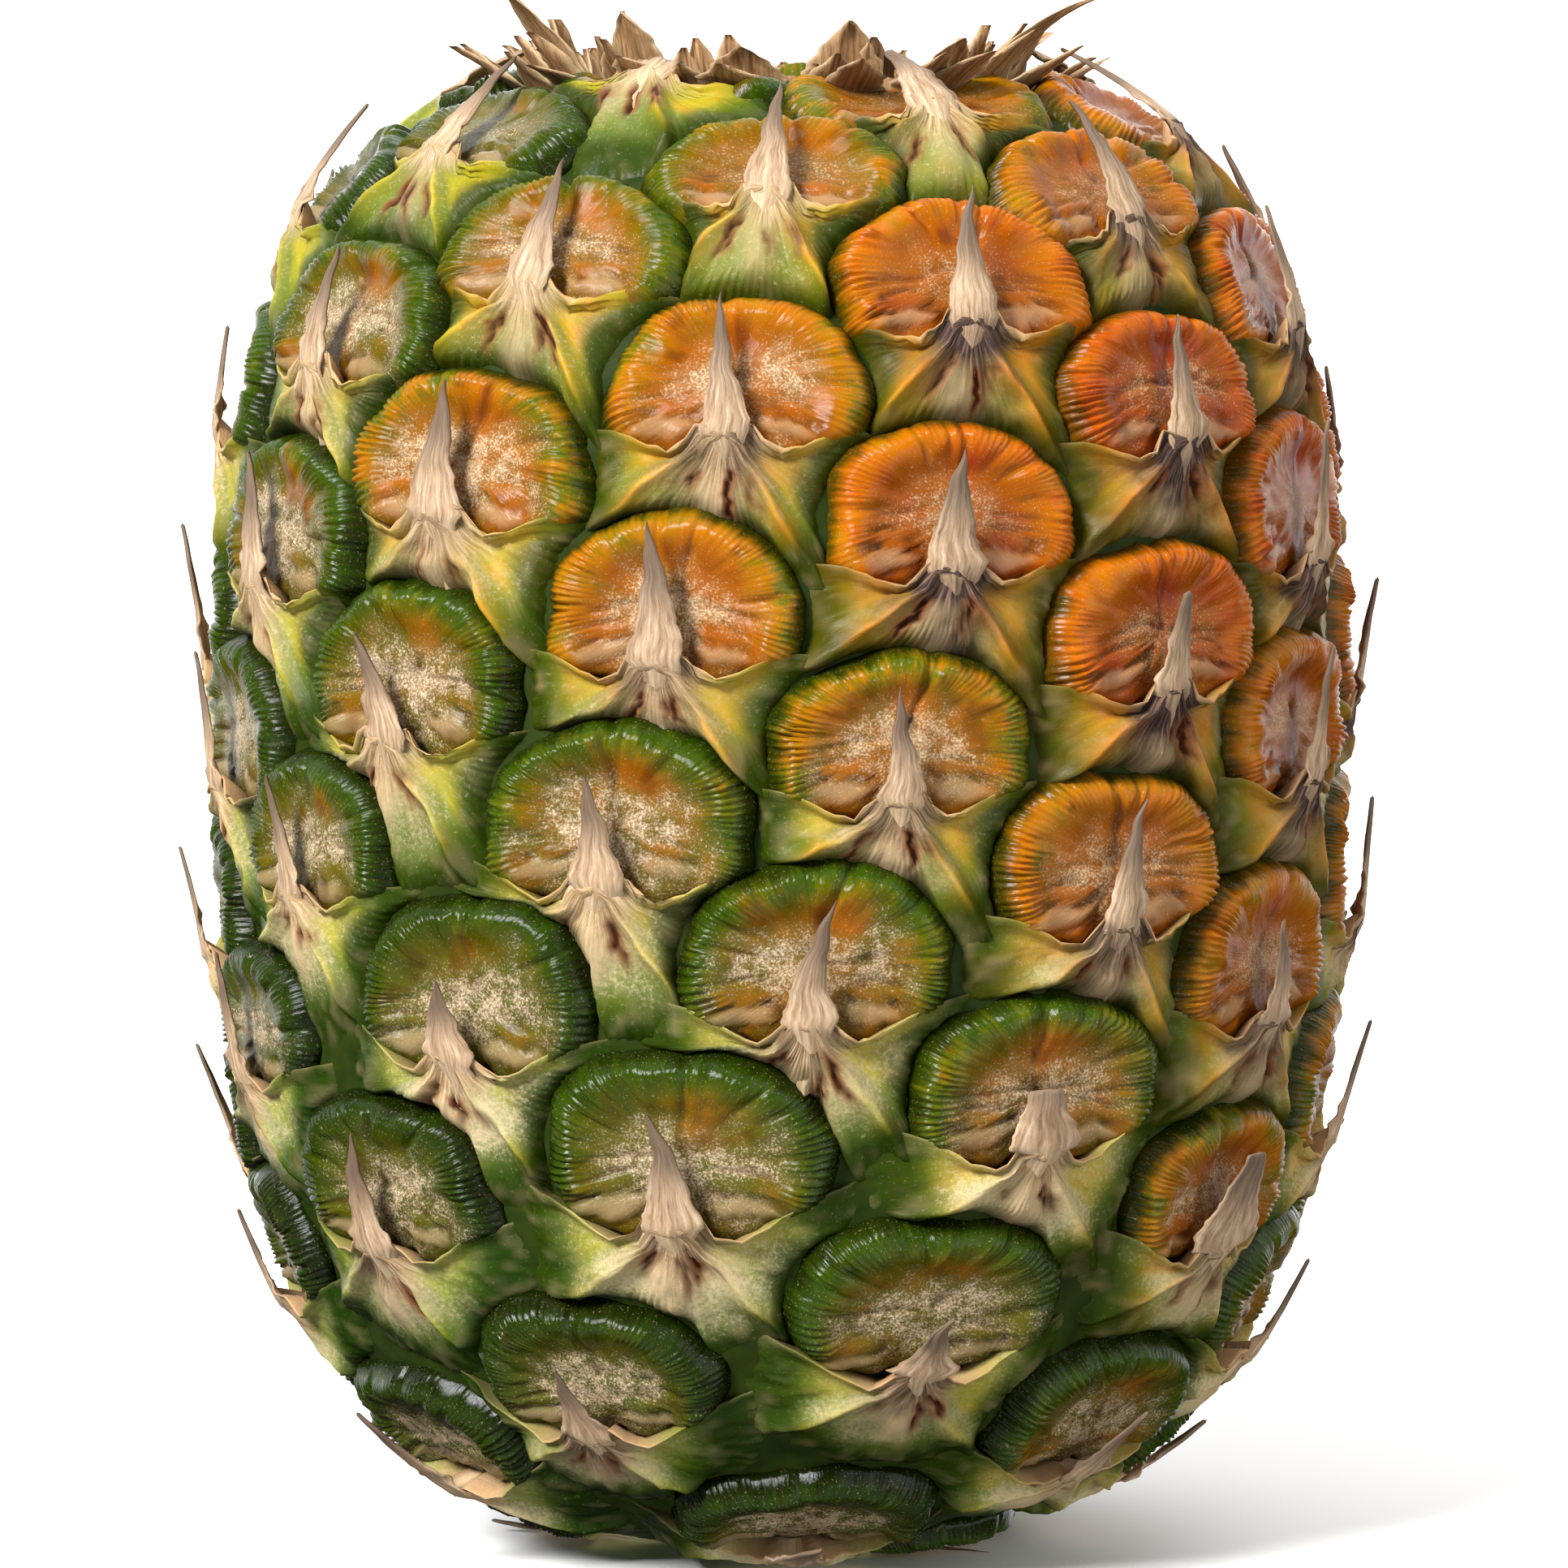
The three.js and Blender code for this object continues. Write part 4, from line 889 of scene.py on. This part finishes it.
def dusting(tree, thick, closer, specks, least, most, cover, haze):
    """How far dust covers each point: specks that lie close where it is thick and single where it thins out, and a thin
    haze between them."""
    dust = add(tree, "Math", {0: thick, 1: closer, 2: specks}, operation="MULTIPLY_ADD")
    dust = add(tree, "MapRange", {"Value": dust, "From Min": least, "From Max": most, "To Max": cover})
    return add(tree, "Math", {0: thick, 1: haze, 2: dust}, operation="MULTIPLY_ADD", use_clamp=True)


def dress(tree, inputs, skin, gloss, rough, *bumps):
    """A shader's colour, gloss and roughness, and its bumps one over another: each a strength, a depth in metres and a
    pattern."""
    feed(tree, inputs, {"Base Color": skin, "Specular IOR Level": gloss, "Roughness": rough})
    below = {}
    for strength, depth, pattern in bumps:
        bump = add(tree, "Bump", {"Strength": strength, "Distance": depth, "Height": pattern} | below)
        below = {"Normal": bump}
    feed(tree, inputs, below)


MM = 1000  # noise on Object coordinates in metres: a scale of MM / size gives lumps of that size in mm


def rind_material():
    """Waxy pineapple rind: smooth glossy skin where it is swollen, matt corky dust in the middle of each eye."""
    names = ("ripe", "rim", "dust", "dark", "lid", "outer", "grain", "place")
    material, tree, inputs, mark = new_material("waxy_rind", *names)
    # Clouds 4 mm across shift the ripeness, streaks run across the crest, specks of 0.24 mm are the corky dust, which
    # lies in patches of 1.7 mm.
    clouds, specks, patches = (
        add(tree, "TexNoise", {"Vector": mark["place"], "Scale": MM / size, "Detail": detail, "Roughness": 0.6})
        for size, detail in ((4, 4.0), (0.24, 2.0), (1.7, 3.0))
    )
    streaks = fibres(tree, mark["grain"], 1.6, 0.22, 5.0, 0.65)
    ripe = ripeness(tree, mark["ripe"], clouds, 5.0, streaks, -4.0)
    # Green to orange: the face of a cap, its crest, and the wall where it falls into the crease, darker there as
    # painted shade over the skin's own green.
    face, edge, wall_colour_and_shade = (
        add(tree, "ValToRGB", {"Fac": ripe}, stops=stops)
        for stops in (
            (0, "#3c4402", 0.25, "#564c02", 0.42, "#784e02", 0.58, "#8e4e02", 0.78, "#8e4602", 1, "#8e320a"),
            (0, "#1c2e02", 0.32, "#2f4602", 0.46, "#5a5c02", 0.56, "#9a6602", 0.75, "#ae5e02", 1, "#a63e03"),
            (0, "#101a01", 0.45, "#1e2a01", 0.7, "#3c3402", 1, "#683c03"),
        )
    )
    patches = add(tree, "MapRange", {"Value": patches, "From Min": 0.38, "From Max": 0.58, "To Min": 0.3})
    thick = add(tree, "Math", {0: patches, 1: mark["dust"]}, operation="MULTIPLY")
    amount = dusting(tree, thick, 0.42, specks, 0.62, 0.9, 0.6, 0.36)
    # The dust is tan on ripe eyes and greyer on green ones.
    tan, grey = (
        add(tree, "ValToRGB", {"Fac": specks}, stops=stops)
        for stops in (
            (0.34, "#98734a", 0.5, "#b5926a", 0.68, "#d2ba96"),
            (0.34, "#7c6850", 0.5, "#a28c6c", 0.68, "#cfbfa4"),
        )
    )
    warm = add(tree, "MapRange", {"Value": ripe, "From Min": 0.28, "From Max": 0.56})
    corky = paint(tree, grey, (warm, 1, tan))
    skin = paint(tree, face, (mark["rim"], 1, edge), (mark["outer"], 1, wall_colour_and_shade), (amount, 1, corky))
    # Painted shade and shadow: the dark mark darkens the slits, the gap under the lip, the spine's side and the pleat
    # grooves, and also the pit, the seams and brown scabs.
    skin = paint(tree, skin, (mark["lid"], 0.5, "#a98d6a"), (mark["dark"], 0.85, "#3c1f08"))
    rough = add(tree, "MapRange", {"Value": amount, "To Min": 0.15, "To Max": 0.5})
    grainy = add(tree, "MapRange", {"Value": amount, "To Min": 0.05, "To Max": 0.35})
    dress(tree, inputs, skin, 0.14, rough, (grainy, 0.00025, specks), (0.25, 0.0005, streaks))
    return material


def bract_material():
    """Leathery green bract: dry and grey round the spine, dusted with whitish bloom, glossy and dark towards its
    margin, where the darkening is partly its own green and partly painted shade, with thin yellow ridges and
    reddish-brown cracks."""
    names = ("ripe", "gold", "lip", "keel", "bloom", "crack", "flap", "heart", "withered", "deep", "grain", "place")
    material, tree, inputs, mark = new_material("leathery_bract", *names)
    clouds, specks = (
        add(tree, "TexNoise", {"Vector": mark["place"], "Scale": MM / size, "Detail": 4.0, "Roughness": roughness})
        for size, roughness in ((4, 0.6), (0.5, 0.85))
    )
    streaks = fibres(tree, mark["grain"], 1.5, 0.2, 5.0, 0.65)
    ripe = ripeness(tree, mark["ripe"], clouds, 7.0, streaks, -4.5)
    # From unripe to ripe: the open skin, its yellow ridges and wings, and the sunk skin towards the margin, whose
    # darker green is partly its own colour and partly painted shade.
    leaf, gold, green = (
        add(tree, "ValToRGB", {"Fac": ripe}, stops=stops)
        for stops in (
            (0, "#334e04", 0.35, "#4c6204", 0.6, "#626a04", 0.8, "#766406", 1, "#825c08"),
            (0, "#76860a", 0.35, "#a69604", 0.65, "#c08604", 1, "#ba6808"),
            (0, "#1e3404", 0.5, "#2c3a03", 1, "#463e04"),
        )
    )
    # The bloom is white specks, close together where it is thick, and less of it stays on a withered bract.
    amount = dusting(tree, mark["bloom"], 0.3, specks, 0.6, 0.86, 0.66, 0.26)
    fresh = add(tree, "MapRange", {"Value": mark["withered"], "To Min": 1.0, "To Max": 0.3})
    amount = add(tree, "Math", {0: amount, 1: fresh}, operation="MULTIPLY")
    # The dry skin round the spine: pale straw on a fresh bract, purplish grey on a withered one.
    pale, dead = (
        add(tree, "ValToRGB", {"Fac": streaks}, stops=stops)
        for stops in (
            (0.35, "#d2b896", 0.5, "#b2946c", 0.64, "#7c6444"),
            (0.34, "#8e705a", 0.44, "#5e4a40", 0.56, "#342725"),
        )
    )
    heart = paint(tree, pale, (mark["withered"], 1, dead))
    near = add(tree, "Math", {0: mark["heart"], 1: 1.4}, operation="MULTIPLY", use_clamp=True)
    skin = paint(tree, leaf, (mark["gold"], 1, gold), (mark["deep"], 1, green), (amount, 1, "#cbbb94"))
    skin = paint(tree, skin, (mark["keel"], 0.75, "#c4a982"), (near, 1, heart), (mark["lip"], 1, "#c09a70"))
    skin = paint(tree, skin, (mark["flap"], 1, "#8c5634"), (mark["crack"], 1.5, "#40200f"))
    dry = add(tree, "Math", {0: near, 1: amount}, operation="MAXIMUM")
    rough = add(tree, "MapRange", {"Value": dry, "To Min": 0.32, "To Max": 0.7})
    grainy = add(tree, "MapRange", {"Value": dry, "To Min": 0.12, "To Max": 0.8})
    dress(tree, inputs, skin, 0.08, rough, (grainy, 0.00022, specks), (0.25, 0.0005, streaks))
    return material


def spine_material():
    """Dry papery spine: pale straw with fine fibres, dark at the sharp tip, and grey at the foot where it has withered."""
    material, tree, inputs, mark = new_material("papery_spine", "along", "foot", "withered", "grain")
    streaks = fibres(tree, mark["grain"], 2.4, 0.2)
    straw, fresh, dead = (
        add(tree, "ValToRGB", {"Fac": streaks}, stops=stops)
        for stops in (
            (0.3, "#6a5440", 0.43, "#987c60", 0.56, "#b89c7e", 0.72, "#d6c4a8"),
            (0.36, "#a08664", 0.6, "#ccb490"),
            (0.36, "#4a3a34", 0.6, "#a08468"),
        )
    )
    foot = paint(tree, fresh, (mark["withered"], 1, dead))
    skin = paint(tree, straw, (mark["along"], 0.8, "#56463a"), (mark["foot"], 0.9, foot))
    dress(tree, inputs, skin, 0.2, 0.6, (0.4, 0.0002, streaks))
    return material


def crease_material():
    """Dark moist green skin deep between the eyes, in clouds 3 mm across, darker than the skin's own colour as painted
    shade.
    """
    material, tree, inputs, mark = new_material("crease_skin", "place")
    clouds = add(tree, "TexNoise", {"Vector": mark["place"], "Scale": MM / 3, "Detail": 4.0})
    skin = add(tree, "ValToRGB", {"Fac": clouds}, stops=(0.35, "#1a2a02", 0.65, "#283404"))
    dress(tree, inputs, skin, 0.12, 0.65)
    return material


def leaf_material():
    """Dry torn leaf base: brown to straw, with parallel fibres and pale split edges."""
    material, tree, inputs, mark = new_material("dry_leaf_base", "along", "edge", "grain")
    streaks = fibres(tree, mark["grain"], 2.2, 0.16)
    brown = (0.3, "#4e331c", 0.45, "#7e5a38", 0.6, "#a5825a", 0.8, "#c8aa82")
    brown = add(tree, "ValToRGB", {"Fac": streaks}, stops=brown)
    low = add(tree, "Math", {0: 0.6, 1: mark["along"]}, operation="SUBTRACT", use_clamp=True)
    skin = paint(tree, brown, (low, 1, "#7a5c30"), (mark["edge"], 0.5, "#d8bd94"))
    dress(tree, inputs, skin, 0.2, 0.7, (0.8, 0.0004, streaks))
    return material


def scar_material():
    """Torn woody top: brown fibres in rings round a paler core with dots 0.9 mm across."""
    material, tree, inputs, mark = new_material("torn_top", "core", "deep", "grain", "place")
    streaks = fibres(tree, mark["grain"], 0.9, 0.3)
    dots = add(tree, "TexNoise", {"Vector": mark["place"], "Scale": MM / 0.9, "Detail": 3.0})
    brown = add(tree, "ValToRGB", {"Fac": streaks}, stops=(0.3, "#4e3420", 0.5, "#8a6844", 0.7, "#b8966a"))
    core = add(tree, "ValToRGB", {"Fac": dots}, stops=(0.4, "#8f7548", 0.6, "#c4ab78"))
    # The low parts between the torn rings are darkened as painted shade.
    skin = paint(tree, brown, (mark["core"], 1, core), (mark["deep"], 0.4, "#4a3218"))
    dress(tree, inputs, skin, 0.2, 0.8, (0.8, 0.0005, streaks))
    return material


def camera():
    """The camera where the photograph was taken, 6 degrees up and 1 m from the middle of the body."""
    data = bpy.data.cameras.new("camera")
    data.sensor_width, data.lens = 36, 212.5
    data.shift_x, data.shift_y = 0.0021, -0.001
    lift = math.radians(6)
    made = bpy.data.objects.new("camera", data)
    made.location = (0, -math.cos(lift), BODY_CENTRE / 1000 + math.sin(lift))
    made.rotation_euler = (math.pi / 2 - lift, 0, 0)
    bpy.context.scene.collection.objects.link(made)
    bpy.context.scene.camera = made


def floor():
    """A pale level floor. The fruit was cut out of its surroundings, so the floor throws no light back on it."""
    material, tree, inputs, _ = new_material("pale_floor")
    dress(tree, inputs, "#f6f6f6", 0.5, 0.7)
    mesh = bpy.data.meshes.new("floor")
    mesh.from_pydata([(-20, -20, 0), (20, -20, 0), (20, 20, 0), (-20, 20, 0)], [], [(0, 1, 2, 3)])
    mesh.materials.append(material)
    made = bpy.data.objects.new("floor", mesh)
    bpy.context.scene.collection.objects.link(made)
    made.visible_diffuse = made.visible_glossy = False


# Soft boxes of the studio: direction, half angle in degrees and brightness. Between them the room has a brightness of
# its own, and a pale backdrop stands low all round, from a height of LOW to HIGH on the unit sphere.
SOFT_BOXES = (
    ((-0.55, -0.65, 0.6), 10, 67.0),
    ((0.0, 0.0, 1.0), 35, 1.4),
    ((0.85, -0.5, 0.25), 28, 2.1),
    ((-0.45, 0.85, 0.4), 40, 1.2),
    ((0.45, 0.85, 0.4), 40, 1.3),
    ((-0.5, -0.6, -0.6), 35, 0.8),
    ((0.5, -0.6, -0.6), 35, 0.7),
)
ROOM = 0.05
BACKDROP, LOW, HIGH = 0.85, 0.07, 0.1


def studio():
    """The light: a room whose brightness is worked out from the direction alone."""
    world = bpy.data.worlds.new("studio")
    bpy.context.scene.world = world
    world.use_nodes = True
    tree = world.node_tree
    direction = add(tree, "TexCoord", {}, "Generated")
    total = ROOM
    for towards, half, brightness in SOFT_BOXES:
        towards = tuple(np.array(towards) / np.linalg.norm(towards))
        facing = add(tree, "VectorMath", {0: direction, 1: towards}, "Value", operation="DOT_PRODUCT")
        start, full = math.cos(math.radians(1.2 * half)), math.cos(math.radians(0.8 * half))
        inside = {"Value": facing, "From Min": start, "From Max": full, "To Max": brightness}
        glow = add(tree, "MapRange", inside, interpolation_type="SMOOTHSTEP")
        total = add(tree, "Math", {0: total, 1: glow}, operation="ADD")
    height = add(tree, "SeparateXYZ", {0: direction}, "Z")
    height = add(tree, "Math", {0: height}, operation="ABSOLUTE")
    glow = add(tree, "MapRange", {"Value": height, "From Min": HIGH, "From Max": LOW, "To Max": BACKDROP})
    total = add(tree, "Math", {0: total, 1: glow}, operation="ADD")
    feed(tree, tree.nodes["Background"].inputs, {"Strength": total, "Color": (1, 1, 1, 1)})
    bpy.context.scene.view_settings.view_transform = "Standard"


camera()
floor()
studio()
RIND = rind_material()
BRACT = bract_material()
DRY_SPINE = spine_material()
CREASE = crease_material()
DRY_LEAF = leaf_material()
SCAR_FLESH = scar_material()
caps()
bracts()
spines()
creases()
scar()
leaves()
shreds()
